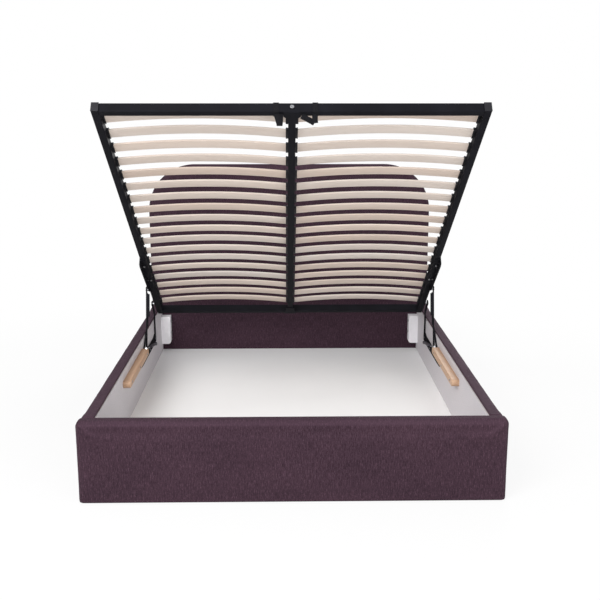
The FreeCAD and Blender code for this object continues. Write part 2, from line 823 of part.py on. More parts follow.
def leg(name, width, start, end):
    """A flat leg of an arm between two points of the arm's own Y-Z plane."""
    length = math.dist(start, end)
    s.keep(f"{name}_leg", length)
    size = getattr(s, f"{name}_leg")
    turn = Rotation(Vector(1, 0, 0), bearing(start, end) - 90)
    shift = turn.multVec(Vector(0, -width.value * HALF_SHARE, 0))
    return block("leg", s.arm_thickness, width, size, Vector(0, *start) + shift, turn)


def arm_plate(name, legs, eyes):
    """An arm of flat legs with an eye and a bore at each pin."""
    parts = list(legs)
    bores = []
    for place, diameter in eyes:
        parts.append(round_bar("eye", diameter, s.arm_thickness, Vector(0, *place), ALONG_X))
        bore = s.pin_diameter + s.pin_gap + s.pin_gap
        bores.append(round_bar("bore", bore, s.arm_thickness, Vector(0, *place), ALONG_X))
    return drilled(name, fused("blank", parts), bores)


def arm_flange(side):
    """A strip along a front arm's front edge that reaches towards the platform."""
    corner = Vector(0, -s.arm_width.value * HALF_SHARE, s.arm_flange_start.value)
    if side > 0:
        corner.x = -s.arm_flange_reach.value
    reach = s.arm_flange_reach + s.arm_thickness
    return block("arm_flange", reach, s.arm_flange_thickness, s.arm_flange_length, corner)


def arms():
    """Front arms with a web, a flange and a strut lever, and kneed rear arms."""
    foot = (0, 0)
    tip = (0, s.front_arm_length.value)
    apex = (0, s.lever_apex_height.value)
    lever = (-s.lever_reach.value, s.lever_rise.value)
    web_low = (s.web_width.value * HALF_SHARE, s.lever_apex_height.value)
    web_high = (s.web_width.value * HALF_SHARE, (s.lever_apex_height + s.web_height).value)
    for name, side in SIDES.items():
        legs = [
            leg(f"{name}_front", s.arm_width, foot, tip),
            leg(f"{name}_lever", s.lever_width, apex, lever),
            leg(f"{name}_web", s.web_width, web_low, web_high),
            arm_flange(side),
        ]
        eyes = [(foot, s.arm_eye), (tip, s.arm_eye), (lever, s.arm_width)]
        plate = arm_plate(f"{name}_front_arm", legs, eyes)
        turn = Rotation(Vector(1, 0, 0), FRONT_ANGLE - 90)
        place = Vector(beside(side, s.arm_inside, s.arm_outside), *FRONT_PIVOT)
        done(plate, f"{name}_front_arm", Placement(place, turn))

        tip_rear = (0, s.rear_arm_length.value)
        knee = (s.knee_offset.value, s.knee_height.value)
        legs = [
            leg(f"{name}_shin", s.arm_width, foot, knee),
            leg(f"{name}_thigh", s.arm_width, knee, tip_rear),
        ]
        legs.append(round_bar("knee", s.arm_width, s.arm_thickness, Vector(0, *knee), ALONG_X))
        plate = arm_plate(f"{name}_rear_arm", legs, [(foot, s.arm_eye), (tip_rear, s.arm_eye)])
        turn = Rotation(Vector(1, 0, 0), REAR_ANGLE - 90)
        place = Vector(beside(side, s.arm_inside, s.arm_outside), *REAR_PIVOT)
        done(plate, f"{name}_rear_arm", Placement(place, turn))


def moving_pins():
    """Pins on the platform, on the rear arms and on the strut rods."""
    gap = s.side_gap * HALF_SHARE
    platform_pins = []
    rear_pins = []
    rod_pins = []
    cap_low = s.arm_outside + gap
    for side in SIDES.values():
        collar = cross_bar("collar", s.pin_collar, side, s.bracket_outside, s.arm_inside - gap, FRONT_PIN)
        shank = cross_bar("shank", s.pin_diameter, side, s.arm_inside - gap, cap_low, FRONT_PIN)
        head = cross_bar("head", s.pin_head, side, cap_low, cap_low + s.pin_head_height, FRONT_PIN)
        platform_pins.append(fused("platform_pin", [collar, shank, head]))

        reach = s.bracket_outside + s.soft_gap
        collar = cross_bar("collar", s.pin_collar, side, reach, s.arm_inside, REAR_PIN)
        shank = cross_bar("shank", s.pin_diameter, side, s.arm_inside, s.arm_outside, REAR_PIN)
        head = cross_bar("head", s.pin_head, side, s.arm_outside, s.arm_outside + s.pin_head_height, REAR_PIN)
        rear_pins.append(fused("rear_pin", [collar, shank, head]))

        eye_inside = s.strut_middle - s.eye_thickness * HALF_SHARE
        reach = s.arm_inside - s.soft_gap
        shank = cross_bar("shank", s.pin_diameter, side, eye_inside, reach, LEVER_EYE)
        head = cross_bar("head", s.pin_collar, side, eye_inside - s.pin_head_height, eye_inside, LEVER_EYE)
        rod_pins.append(fused("rod_pin", [shank, head]))
    done(group("platform_pins", platform_pins), "platform_pins")
    done(group("rear_arm_pins", rear_pins), "rear_arm_pins")
    done(group("rod_pins", rod_pins), "rod_pins")


def strut_eye(place):
    """Eye of a strut across its axis, and the bore through it."""
    start = Vector(-s.eye_thickness.value * HALF_SHARE, 0, place)
    eye = round_bar("eye", s.eye_diameter, s.eye_thickness, start, ALONG_X)
    bore = round_bar("bore", s.pin_diameter + s.pin_gap + s.pin_gap, s.eye_thickness, start, ALONG_X)
    return eye, bore


def gas_struts():
    """Gas struts: a closed cylinder with a gland, and a rod with its piston."""
    radius = s.strut_diameter * HALF_SHARE
    bore = s.strut_bore * HALF_SHARE
    throat = s.rod_diameter * HALF_SHARE + s.pin_gap
    profile = [
        (ZERO, ZERO),
        (radius, ZERO),
        (radius, s.strut_length),
        (throat, s.strut_length),
        (throat, s.strut_length - s.strut_wall),
        (bore, s.strut_length - s.strut_wall),
        (bore, s.strut_wall),
        (ZERO, s.strut_wall),
    ]
    turn = Rotation(Vector(1, 0, 0), STRUT_ANGLE - 90)
    piston_low = s.strut_neck + s.strut_length - s.strut_wall - s.piston_gap - s.piston_length
    for name, side in SIDES.items():
        place = Placement(Vector(side * s.strut_middle.value, *STRUT_ANCHOR), turn)
        tube = new_body(f"{name}_strut_tube")
        sketch = new_sketch(tube, "XZ_Plane", profile)
        turned = tube.newObject("PartDesign::Revolution", "turned")
        turned.Profile = sketch
        turned.ReferenceAxis = (sketch, ["V_Axis"])
        tube.Tip = turned
        tube.Placement = Placement(spot(0, 0, s.strut_neck), Rotation())
        eye, hole = strut_eye(0)
        neck = round_bar("neck", s.strut_neck_diameter, s.strut_neck + s.strut_wall * HALF_SHARE, Vector())
        cylinder = drilled(f"{name}_gas_cylinder", fused("cylinder", [tube, neck, eye]), [hole])
        done(cylinder, f"{name}_gas_cylinder", place)

        eye, hole = strut_eye(s.strut_open.value)
        shaft = round_bar("shaft", s.rod_diameter, s.strut_open - piston_low, spot(0, 0, piston_low))
        piston_size = s.strut_bore - s.piston_gap - s.piston_gap
        piston = round_bar("piston", piston_size, s.piston_length, spot(0, 0, piston_low))
        rod = drilled(f"{name}_gas_rod", fused("rod", [shaft, piston, eye]), [hole])
        done(rod, f"{name}_gas_rod", place)


# Platform, drawn flat from the head end of its underside and then tilted

def on_platform(x, y, z, turn=Rotation()):
    return PLATFORM.multiply(Placement(spot(x, y, z), turn))


def tube(name, role, length, reverse, axis):
    """Rectangular tube with rounded corners along one axis."""
    body = new_body(name)
    wide = (s.tube_width, s.tube_depth)
    sketch = new_sketch(body, role, rectangle(ZERO, ZERO, *wide))
    inside = [size - s.tube_wall - s.tube_wall for size in wide]
    draw_outline(sketch, rectangle(s.tube_wall, s.tube_wall, *inside))
    extrude(body, sketch, length, reverse)

    def corner(edge):
        box = edge.BoundBox
        sides = (box.XMin, box.YMin)[axis == 0]
        outer = near(sides, 0) or near(sides, s.tube_width)
        level = near(box.ZMin, 0) or near(box.ZMin, s.tube_depth)
        return runs(edge, axis) and outer and level

    soften(body, s.tube_round, corner)
    return body


def frame_tubes():
    """Side tubes with end caps, foot and head tubes between them, and the centre beam."""
    length = s.platform_length - s.cap_thickness - s.cap_thickness
    caps = []
    for name, side in SIDES.items():
        body = tube(f"{name}_side_tube", "XZ_Plane", length, True, 1)
        x = beside(side, s.tube_inside, s.tube_outside)
        done(body, f"{name}_side_tube", on_platform(x, s.cap_thickness.value - s.platform_length.value, 0))
        for start in (-s.platform_length.value, -s.cap_thickness.value):
            cap = block("cap", s.tube_width, s.cap_thickness, s.tube_depth, Vector())
            cap.Placement = on_platform(x, start, 0)
            caps.append(cap)
    done(group("tube_caps", caps), "tube_caps")

    across = s.tube_inside + s.tube_inside
    foot = tube("foot_tube", "YZ_Plane", across, False, 0)
    foot_start = s.tube_proud.value - s.platform_length.value
    done(foot, "foot_tube", on_platform(-s.tube_inside.value, foot_start, 0))
    head = tube("head_tube", "YZ_Plane", across, False, 0)
    head_start = -s.tube_proud.value - s.tube_width.value
    done(head, "head_tube", on_platform(-s.tube_inside.value, head_start, 0))

    beam_length = s.platform_length - s.tube_proud - s.tube_proud - s.tube_width - s.tube_width
    beam = tube("centre_beam", "XZ_Plane", beam_length, True, 1)
    done(beam, "centre_beam", on_platform(-s.beam_half.value, foot_start + s.tube_width.value, 0))


def flange_screws():
    """Screws that hold the flanges of the upper brackets to the side tubes."""
    screws = []
    foot_end = -(s.upper_bracket_start + s.upper_bracket_length).value
    under = -(s.upper_bracket_thickness + s.bolt_head_height).value
    for side in SIDES.values():
        for along, across in FLANGE_SCREW_SHARES:
            x = side * (s.tube_inside + s.tube_width * across).value
            y = foot_end + s.upper_flange_length.value * along
            screw = round_bar("flange_screw", s.screw_head, s.bolt_head_height, Vector())
            screw.Placement = on_platform(x, y, under)
            screws.append(screw)
    return screws


def tee_plates():
    """Gusset plates under the crossings of the centre beam, and the bolts through the cross tubes."""
    side = (s.tee_width - s.tee_neck) * HALF_SHARE
    outline = [
        (ZERO, ZERO),
        (s.tee_width, ZERO),
        (s.tee_width, s.tube_width),
        (s.tee_width - side, s.tube_width + side),
        (s.tee_width - side, s.tee_reach + s.tube_width),
        (side, s.tee_reach + s.tube_width),
        (side, s.tube_width + side),
        (ZERO, s.tube_width),
    ]
    half = s.tee_width.value * HALF_SHARE
    under = -s.tee_thickness.value
    ends = {
        "foot_tee_plate": on_platform(-half, s.tube_proud.value - s.platform_length.value, under),
        "head_tee_plate": on_platform(half, -s.tube_proud.value, under, HALF_TURN),
    }
    for name, place in ends.items():
        body = new_body(name)
        extrude(body, new_sketch(body, "XY_Plane", outline), s.tee_thickness)
        done(body, name, place)

    middle = s.tube_depth.value * HALF_SHARE
    bolts = flange_screws()
    for start in (s.tube_proud - s.platform_length - s.bolt_head_height, ZERO - s.tube_proud):
        bolt = round_bar("beam_bolt", s.bolt_head, s.bolt_head_height, Vector())
        bolt.Placement = on_platform(0, start, middle, ALONG_Y)
        bolts.append(bolt)
    done(group("beam_bolts", bolts), "beam_bolts")


def upper_brackets():
    """Plates on the outer faces of the side tubes, deeper over the front arms and flanged below."""
    depth = {True: s.upper_bracket_drop, False: s.upper_bracket_rise}
    outline = []
    for along, level in UPPER_OUTLINE_SHARES:
        y = s.upper_bracket_length * (1 - along) if along < 1 else ZERO
        z = s.upper_bracket_drop + depth[level < 0] * level if level > -1 else ZERO
        outline.append((y, z))
    y = -s.upper_bracket_start.value - s.upper_bracket_length.value
    for name, side in SIDES.items():
        body = new_body(f"{name}_bracket_plate")
        extrude(body, new_sketch(body, "YZ_Plane", outline), s.upper_bracket_thickness)
        x = beside(side, s.tube_outside, s.bracket_outside)
        body.Placement = on_platform(x, y, -s.upper_bracket_drop.value)
        flange = block("flange", s.tube_width, s.upper_flange_length, s.upper_bracket_thickness, Vector())
        x = beside(side, s.tube_inside, s.tube_outside)
        flange.Placement = on_platform(x, y, -s.upper_bracket_thickness.value)
        done(fused(f"{name}_upper_bracket", [body, flange]), f"{name}_upper_bracket")


def slats():
    """Sprung slats, bowed upwards, and the holders at both of their ends."""
    s.keep("slat_length", s.tube_inside - s.beam_half - (s.holder_back + s.slat_gap) * 2)
    half = s.slat_length.value / 2
    bow = s.slat_bow.value
    s.keep("bow_radius", (half ** 2 + bow ** 2) / (2 * bow))
    s.keep("crown_radius", s.bow_radius + s.slat_thickness)
    s.keep("slat_end", math.sqrt(s.crown_radius.value ** 2 - half ** 2) - s.bow_radius.value + bow)
    s.keep("slat_field", s.platform_length - s.slat_head_margin - s.slat_foot_margin)
    s.keep("slat_pitch", s.slat_field.value / (SLATS_PER_SIDE - 1))
    foot_edge = (s.slat_foot_margin - s.platform_length - s.slat_width * HALF_SHARE).value
    for name, side in SIDES.items():
        body = new_body(f"{name}_slats")
        sketch = new_sketch(body, "XZ_Plane")
        draw_slat(sketch, half, bow)
        strip = extrude(body, sketch, s.slat_width, True)
        repeat(body, [strip], "Y_Axis", s.slat_pitch, SLATS_PER_SIDE)
        x = beside(side, s.beam_half + s.holder_back + s.slat_gap, s.tube_inside - s.holder_back - s.slat_gap)
        done(body, f"{name}_slats", on_platform(x, foot_edge, s.slat_level))
        holder_row(f"{name}_outer_holders", -side, side * s.tube_inside.value, foot_edge)
        holder_row(f"{name}_inner_holders", side, side * s.beam_half.value, foot_edge)


def draw_slat(sketch, half, bow):
    """Outline of a slat: two bows tied to their radii, joined by upright ends."""
    crown = bow + s.slat_thickness.value
    left = [Vector(), spot(0, s.slat_end, 0)]
    right = [spot(s.slat_length, 0, 0), spot(s.slat_length, s.slat_end, 0)]
    sketch.addGeometry(Part.Arc(right[0], Vector(half, bow, 0), left[0]))
    sketch.addGeometry(Part.LineSegment(*right))
    sketch.addGeometry(Part.Arc(right[1], Vector(half, crown, 0), left[1]))
    sketch.addGeometry(Part.LineSegment(*left))
    for first, end, second, start in ((0, 1, 1, 1), (1, 2, 2, 1), (2, 2, 3, 2), (3, 1, 0, 2)):
        sketch.addConstraint(Sketcher.Constraint("Coincident", first, end, second, start))
    tie_corner(sketch, "DistanceX", -2, 3, ZERO)
    tie_corner(sketch, "DistanceY", -1, 3, ZERO)
    tie_corner(sketch, "DistanceX", -2, 1, s.slat_length)
    tie_corner(sketch, "DistanceY", -1, 1, ZERO)
    for line in (1, 3):
        sketch.addConstraint(Sketcher.Constraint("Vertical", line))
    for arc, radius in ((0, s.bow_radius), (2, s.crown_radius)):
        index = sketch.addConstraint(Sketcher.Constraint("Radius", arc, float(radius)))
        sketch.setExpression(f"Constraints[{index}]", radius.text)
    height = sketch.addConstraint(Sketcher.Constraint("DistanceY", 1, 1, 1, 2, float(s.slat_end)))
    sketch.setExpression(f"Constraints[{height}]", s.slat_end.text)
    height = sketch.addConstraint(Sketcher.Constraint("DistanceY", 3, 1, 3, 2, float(s.slat_end)))
    sketch.setExpression(f"Constraints[{height}]", s.slat_end.text)


def holder_row(name, way, face, foot_edge):
    """Row of slat holders on a tube face: a back plate and a sleeve that grips the slat's end."""
    wide = s.slat_width + s.holder_wall + s.holder_wall
    tall = s.slat_thickness + s.holder_wall + s.holder_wall + s.holder_play
    body = new_body(name)
    outer = rectangle(ZERO, ZERO, wide, tall)
    back = extrude(body, new_sketch(body, "YZ_Plane", outer), s.holder_back)
    sketch = new_sketch(body, "YZ_Plane", outer)
    grip = s.holder_wall - s.slat_gap
    mouth = s.slat_thickness + s.slat_gap * 2 + s.holder_play
    opening = rectangle(grip, grip, s.slat_width + s.slat_gap * 2, mouth)
    draw_outline(sketch, opening)
    sleeve = extrude(body, sketch, s.holder_reach)
    repeat(body, [back, sleeve], "Y_Axis", s.slat_pitch, SLATS_PER_SIDE)
    low = s.slat_level - s.holder_wall
    if way > 0:
        place = on_platform(face, foot_edge - s.holder_wall.value, low)
    else:
        row = (s.slat_pitch * (SLATS_PER_SIDE - 1) + s.slat_width).value
        place = on_platform(face, foot_edge + row + s.holder_wall.value, low, HALF_TURN)
    done(body, name, place)


def pull_strap():
    """Webbing strap: wraps round the foot tube, with a hanging fold on the left and a loop on the right."""
    around = s.strap_slack + s.strap_thickness
    wrap_y = (s.tube_proud - s.platform_length - around).value
    middle = wrap_y + (around + s.tube_width * HALF_SHARE).value
    outer_width = s.tube_width + around * 2
    outer_depth = s.tube_depth + around * 2
    bracket_edge = s.tee_width * HALF_SHARE + s.soft_gap
    spreads = {"left": s.strap_left_spread, "right": s.strap_right_spread}
    ends = {"left": STRAP_FOLD_SHARES, "right": STRAP_LOOP_SHARES}
    hang = PLATFORM.multVec(Vector(0, middle, -(s.strap_slack + s.strap_thickness * HALF_SHARE).value))
    pieces = []
    for name, side in SIDES.items():
        s.keep(f"{name}_strap_span", spreads[name] + s.strap_width * HALF_SHARE - bracket_edge)
        span = getattr(s, f"{name}_strap_span")
        x = side * spreads[name].value - s.strap_width.value * HALF_SHARE
        ring = new_body("strap_wrap")
        sketch = new_sketch(ring, "YZ_Plane", rectangle(ZERO, ZERO, outer_width, outer_depth))
        inner = rectangle(s.strap_thickness, s.strap_thickness, s.tube_width + s.strap_slack * 2,
                          s.tube_depth + s.strap_slack * 2)
        draw_outline(sketch, inner)
        extrude(ring, sketch, s.strap_width)
        ring.Placement = on_platform(x, wrap_y, -around.value)

        fold = new_body("strap_fold")
        outline = []
        for across, level in ends[name]:
            outline.append((span * across if across else ZERO, s.strap_drop * level if level else ZERO))
        extrude(fold, new_sketch(fold, "XZ_Plane", outline), s.strap_thickness, True)
        low = hang.z - s.strap_drop.value
        thick = s.strap_thickness.value * HALF_SHARE
        if side > 0:
            fold.Placement = Placement(spot(bracket_edge, hang.y - thick, low), Rotation())
        else:
            fold.Placement = Placement(spot(-bracket_edge.value, hang.y + thick, low), HALF_TURN)
        pieces.append(fused("strap", [ring, fold]))
    done(group("pull_strap", pieces), "pull_strap")


foot_cover()
for rail_name, rail_side in SIDES.items():
    rail_cover(f"{rail_name}_rail_cover", rail_side)
base_boards()
headboard()
corner_blocks()
glides()
storage_floor()
battens()
lower_brackets()
rail_screws()
ground_pins()
arms()
moving_pins()
gas_struts()
frame_tubes()
tee_plates()
upper_brackets()
slats()
pull_strap()
doc.recompute()

# Nothing is written unless every feature and shape is sound
for item in doc.Objects:
    if "Invalid" in item.State or "Error" in item.State:
        raise RuntimeError(f"{item.Label}: {item.State}")
for item in finished:
    if item.Shape.isNull() or not item.Shape.isValid():
        raise RuntimeError(f"{item.Label}: the shape isn't valid")

os.makedirs("parts", exist_ok=True)
for item in finished:
    item.Shape.exportStep(f"parts/{item.Label}.step")

print(f"{len(finished)} sub-parts")
print(f"front pivot {FRONT_PIVOT}, angle {FRONT_ANGLE:.4f}, swing {FRONT_SWING:.4f}")
print(f"front pin {FRONT_PIN}, closed {FRONT_PIN_CLOSED}")
print(f"rear pivot {REAR_PIVOT}, angle {REAR_ANGLE:.4f}, swing {REAR_SWING:.4f}")
print(f"strut anchor {STRUT_ANCHOR}, angle {STRUT_ANGLE:.4f}, swing {STRUT_SWING:.4f}")
print(f"strut open {s.strut_open.value:.3f}, stroke {s.strut_stroke.value:.4f}")
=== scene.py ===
import json
import math

import bmesh
import bpy
import numpy as np
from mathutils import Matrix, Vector, noise


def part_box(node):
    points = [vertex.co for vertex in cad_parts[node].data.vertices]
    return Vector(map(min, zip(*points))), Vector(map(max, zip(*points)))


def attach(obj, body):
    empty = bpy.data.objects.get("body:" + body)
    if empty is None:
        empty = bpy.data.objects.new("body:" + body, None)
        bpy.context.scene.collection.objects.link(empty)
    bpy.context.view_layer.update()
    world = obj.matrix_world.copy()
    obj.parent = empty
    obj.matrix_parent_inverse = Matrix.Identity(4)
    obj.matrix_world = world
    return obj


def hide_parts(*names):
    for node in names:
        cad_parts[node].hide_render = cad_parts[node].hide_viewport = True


# Upholstered storage bed with its slatted platform lifted. Metres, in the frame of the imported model.

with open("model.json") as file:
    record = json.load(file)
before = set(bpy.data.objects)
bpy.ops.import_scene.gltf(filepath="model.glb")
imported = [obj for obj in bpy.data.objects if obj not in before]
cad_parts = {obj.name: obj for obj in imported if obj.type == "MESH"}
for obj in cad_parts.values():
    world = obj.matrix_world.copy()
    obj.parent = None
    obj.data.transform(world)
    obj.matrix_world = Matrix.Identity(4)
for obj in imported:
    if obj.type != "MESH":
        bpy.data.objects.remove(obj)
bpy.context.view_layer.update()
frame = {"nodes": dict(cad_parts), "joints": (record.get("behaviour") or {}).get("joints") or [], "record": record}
scene = bpy.context.scene
nodes = frame["nodes"]

X, Y, Z = range(3)
LOW_SIDE = -1
HIGH_SIDE = 1

# Camera of the photograph, fitted to the bed's corners
CAMERA_PLACE = (-0.0304, -4.4865, 1.6102)
CAMERA_YAW = 0.99
CAMERA_PITCH = 12.63
CAMERA_LENS = 53.57
SENSOR = 36.0

# Studio light
SKY_LIGHT = 0.47
KEY_PLACE = (-2.5, -4.6, 3.8)
KEY_POWER = 345.0
FILL_PLACE = (2.9, -5.2, 2.0)
FILL_POWER = 150.0
BACK_PLACE = (1.8, 5.2, 2.4)
BACK_POWER = 190.0
LIGHT_SIZE = 3.6
LIGHT_TARGET = (0.0, 0.0, 0.45)
WHITE = (1.0, 1.0, 1.0, 1.0)

# The floor's shadow is strongest near the bed and fades to white further away
FLOOR_REACH = 40.0
FLOOR_COLOUR = (0.8, 0.8, 0.8, 1.0)
SHADOW_SHARE = 0.12
SHADOW_NEAR = 1.5
SHADOW_FAR = 3.2

# Angle past which an edge is sharp
SHARP = math.radians(35)
# Points this near an extreme count as lying on it, and equal coordinates agree to these decimal places
EDGE_REACH = 0.0005
EQUAL_PLACES = 4

# Tilt of the lifted platform, read from the frame's joints
swing = {joint["name"]: joint.get("range_deg", (0, 0))[1] for joint in frame["joints"]}
PLATFORM_TILT = math.radians(swing["platform_hinge"] - swing["front_arm_hinge"])
TILT_COS = math.cos(PLATFORM_TILT)
TILT_SIN = math.sin(PLATFORM_TILT)


def points_of(mesh):
    """A mesh's points, one row each."""
    points = np.empty(len(mesh.vertices) * 3)
    mesh.vertices.foreach_get("co", points)
    return points.reshape(-1, 3)


def on_platform(points):
    """Coordinates across, along and square to the lifted platform."""
    along = points[:, Y] * TILT_COS - points[:, Z] * TILT_SIN
    up = points[:, Y] * TILT_SIN + points[:, Z] * TILT_COS
    return np.column_stack([points[:, X], along, up])


def lifted(across, along, up):
    """The place of a point that is given in the lifted platform's axes."""
    return Vector((across, along * TILT_COS + up * TILT_SIN, up * TILT_COS - along * TILT_SIN))


def evaluated_mesh(piece):
    """A piece's mesh with its modifiers applied."""
    return bpy.data.meshes.new_from_object(piece.evaluated_get(bpy.context.evaluated_depsgraph_get()))


# Shader helpers

class Shader:
    """A material's node tree, with short calls for the nodes used here."""

    def __init__(self, name):
        self.material = bpy.data.materials.new(name)
        self.material.use_nodes = True
        self.tree = self.material.node_tree
        self.surface = self.tree.nodes["Principled BSDF"]

    def node(self, kind, **values):
        made = self.tree.nodes.new(kind)
        for name, value in values.items():
            setattr(made, name, value)
        return made

    def link(self, source, target):
        self.tree.links.new(source, target)

    def feed(self, socket, value):
        """Link an output to a socket, or set the socket to a constant."""
        if isinstance(value, bpy.types.NodeSocket):
            self.link(value, socket)
        else:
            socket.default_value = value

    def set(self, **values):
        """Set constants on the surface shader's own sockets."""
        for name, value in values.items():
            self.surface.inputs[name.replace("_", " ")].default_value = value

    def place(self):
        """The point's own coordinates, which move with its body."""
        return self.node("ShaderNodeTexCoord").outputs["Object"]

    def parts(self, vector):
        split = self.node("ShaderNodeSeparateXYZ")
        self.link(vector, split.inputs[0])
        return [split.outputs[axis] for axis in (X, Y, Z)]

    def joined(self, x, y, z):
        made = self.node("ShaderNodeCombineXYZ")
        for socket, value in zip(made.inputs, (x, y, z)):
            self.feed(socket, value)
        return made.outputs[0]

    def math(self, operation, first, second=0.0, third=0.0):
        made = self.node("ShaderNodeMath", operation=operation)
        for socket, value in zip(made.inputs, (first, second, third)):
            self.feed(socket, value)
        return made.outputs[0]

    def wave(self, value, pitch):
        """A sine that repeats at a pitch."""
        return self.math("SINE", self.math("MULTIPLY", value, 2 * math.pi / pitch))

    def stretched(self, vector, scale):
        made = self.node("ShaderNodeMapping")
        self.link(vector, made.inputs["Vector"])
        made.inputs["Scale"].default_value = scale
        return made.outputs[0]

    def turned(self, vector, angles):
        made = self.node("ShaderNodeMapping")
        self.link(vector, made.inputs["Vector"])
        made.inputs["Rotation"].default_value = angles
        return made.outputs[0]

    def noise(self, vector, scale=1.0, detail=2.0, roughness=0.5):
        made = self.node("ShaderNodeTexNoise")
        self.link(vector, made.inputs["Vector"])
        made.inputs["Scale"].default_value = scale
        made.inputs["Detail"].default_value = detail
        made.inputs["Roughness"].default_value = roughness
        return made.outputs["Fac"]

    def cells(self, value):
        """One random number per whole number of the value."""
        made = self.node("ShaderNodeTexWhiteNoise", noise_dimensions="1D")
        self.link(value, made.inputs["W"])
        return made.outputs["Value"]

    def ramp(self, factor, stops):
        """Colours that change along stops, each a position and a colour."""
        made = self.node("ShaderNodeValToRGB")
        elements = made.color_ramp.elements
        while len(elements) < len(stops):
            elements.new(1.0)
        for element, (position, colour) in zip(elements, stops):
            element.position = position
            element.color = (*colour, 1.0)
        self.link(factor, made.inputs["Fac"])
        return made.outputs["Color"]

    def between(self, factor, low, high, start=0.3, stop=0.7):
        """A colour that goes from low to high as the factor goes from start to stop."""
        return self.ramp(factor, [(start, low), (stop, high)])

    def span(self, value, low, high):
        """A 0 to 1 value moved to another range."""
        made = self.node("ShaderNodeMapRange")
        self.link(value, made.inputs["Value"])
        made.inputs["To Min"].default_value = low
        made.inputs["To Max"].default_value = high
        return made.outputs["Result"]

    def smoothstep(self, value, start, stop, low=0.0, high=1.0):
        """Low up to start, high from stop on, and smooth between them."""
        made = self.node("ShaderNodeMapRange", interpolation_type="SMOOTHSTEP")
        self.link(value, made.inputs["Value"])
        for name, number in zip(("From Min", "From Max", "To Min", "To Max"), (start, stop, low, high)):
            made.inputs[name].default_value = number
        return made.outputs["Result"]

    def mixed(self, factor, first, second):
        """A mix of two colours, each an output or a constant."""
        made = self.node("ShaderNodeMix", data_type="RGBA")
        self.feed(made.inputs["Factor"], factor)
        for name, value in (("A", first), ("B", second)):
            socket = next(item for item in made.inputs if item.name == name and item.type == "RGBA")
            if isinstance(value, bpy.types.NodeSocket):
                self.link(value, socket)
            else:
                socket.default_value = (*value, 1.0)
        return next(item for item in made.outputs if item.type == "RGBA")

    def bump(self, height, distance, strength):
        made = self.node("ShaderNodeBump")
        self.link(height, made.inputs["Height"])
        made.inputs["Distance"].default_value = distance
        made.inputs["Strength"].default_value = strength
        self.link(made.outputs["Normal"], self.surface.inputs["Normal"])

    def colour(self, value):
        self.feed(self.surface.inputs["Base Color"], value)

    def roughness(self, value):
        self.feed(self.surface.inputs["Roughness"], value)


def shade(red, green, blue):
    """Linear colour from a screen colour of 0 to 255."""
    def linear(part):
        part /= 255
        return part / 12.92 if part <= 0.04045 else ((part + 0.055) / 1.055) ** 2.4
    return tuple(linear(part) for part in (red, green, blue))


# Materials

# Chenille: features per metre across and along the ribs, and their shares in the pile
YARN_SCALE = (340, 72, 1)
SLUB_SCALE = (250, 24, 1)
KNOT_SCALE = (300, 280, 1)
CLOUD_SCALE = (2.4, 3.4, 1)
YARN_SHARE = 0.45
SLUB_SHARE = 0.28
KNOT_SHARE = 0.27
TONE_SHARE = 0.3
RIB_PITCH = 0.0032
RIB_SHARE = 0.25
PILE_COLOURS = [
    (0.35, shade(28, 18, 25)),
    (0.46, shade(44, 30, 38)),
    (0.54, shade(60, 42, 52)),
    (0.66, shade(93, 71, 83)),
]
SHEEN_COLOUR = (0.62, 0.45, 0.58, 1.0)
# How squarely the surface faces the panel's end where the ribs start and stop changing their axis
END_START = 0.65
END_STOP = 0.75
# Painted highlight: the direction, up and to the front, of surfaces that are painted paler, how nearly a point
# must face it, how far its colour changes and the paler colour
PAINTED_SHEEN_FACING = (0.0, -0.7071, 0.7071)
PAINTED_SHEEN_START = 0.72
PAINTED_SHEEN_STOP = 1.0
PAINTED_SHEEN_SHARE = 0.16
PAINTED_SHEEN_COLOUR = shade(96, 74, 88)


def chenille(name, across):
    """Aubergine chenille whose ribs run up the panel, with a painted highlight where it turns up to the front;
    across is the axis that crosses them.
    """
    shader = Shader(name)
    parts = shader.parts(shader.place())
    normal = shader.node("ShaderNodeNewGeometry").outputs["Normal"]
    # On the panel's ends the ribs are crossed by the other axis
    sideways = shader.math("ABSOLUTE", shader.parts(normal)[across])
    turned = shader.smoothstep(sideways, END_START, END_STOP)
    own, other = parts[across], parts[1 - across]
    step = shader.math("MULTIPLY", shader.math("SUBTRACT", other, own), turned)
    crossing = shader.math("ADD", own, step)
    along = shader.math("ADD", parts[Z], shader.math("SUBTRACT", other, step))
    cloth = shader.joined(crossing, along, 0.0)
    yarn = shader.noise(shader.stretched(cloth, YARN_SCALE), detail=3.0, roughness=0.65)
    slub = shader.noise(shader.stretched(cloth, SLUB_SCALE))
    knot = shader.noise(shader.stretched(cloth, KNOT_SCALE))
    cloud = shader.noise(shader.stretched(cloth, CLOUD_SCALE))
    streaks = shader.math("MULTIPLY", yarn, YARN_SHARE)
    streaks = shader.math("MULTIPLY_ADD", slub, SLUB_SHARE, streaks)
    streaks = shader.math("MULTIPLY_ADD", knot, KNOT_SHARE, streaks)
    tone = shader.between(cloud, shade(42, 28, 37), shade(64, 45, 55))
    cloth_colour = shader.mixed(TONE_SHARE, shader.ramp(streaks, PILE_COLOURS), tone)
    # Painted highlight: faces and edges that turn up to the front are painted paler, standing in for light caught
    # by the pile
    facing = shader.node("ShaderNodeVectorMath", operation="DOT_PRODUCT")
    shader.link(normal, facing.inputs[0])
    facing.inputs[1].default_value = PAINTED_SHEEN_FACING
    painted_sheen = shader.smoothstep(facing.outputs["Value"], PAINTED_SHEEN_START, PAINTED_SHEEN_STOP, high=PAINTED_SHEEN_SHARE)
    shader.colour(shader.mixed(painted_sheen, cloth_colour, PAINTED_SHEEN_COLOUR))
    rib = shader.math("MULTIPLY", shader.wave(crossing, RIB_PITCH), RIB_SHARE)
    shader.bump(shader.math("ADD", rib, streaks), distance=0.0012, strength=0.7)
    shader.roughness(shader.span(streaks, low=0.98, high=0.8))
    shader.set(Sheen_Weight=0.08, Sheen_Roughness=0.5, Sheen_Tint=SHEEN_COLOUR, Specular_IOR_Level=0.1)
    return shader.material


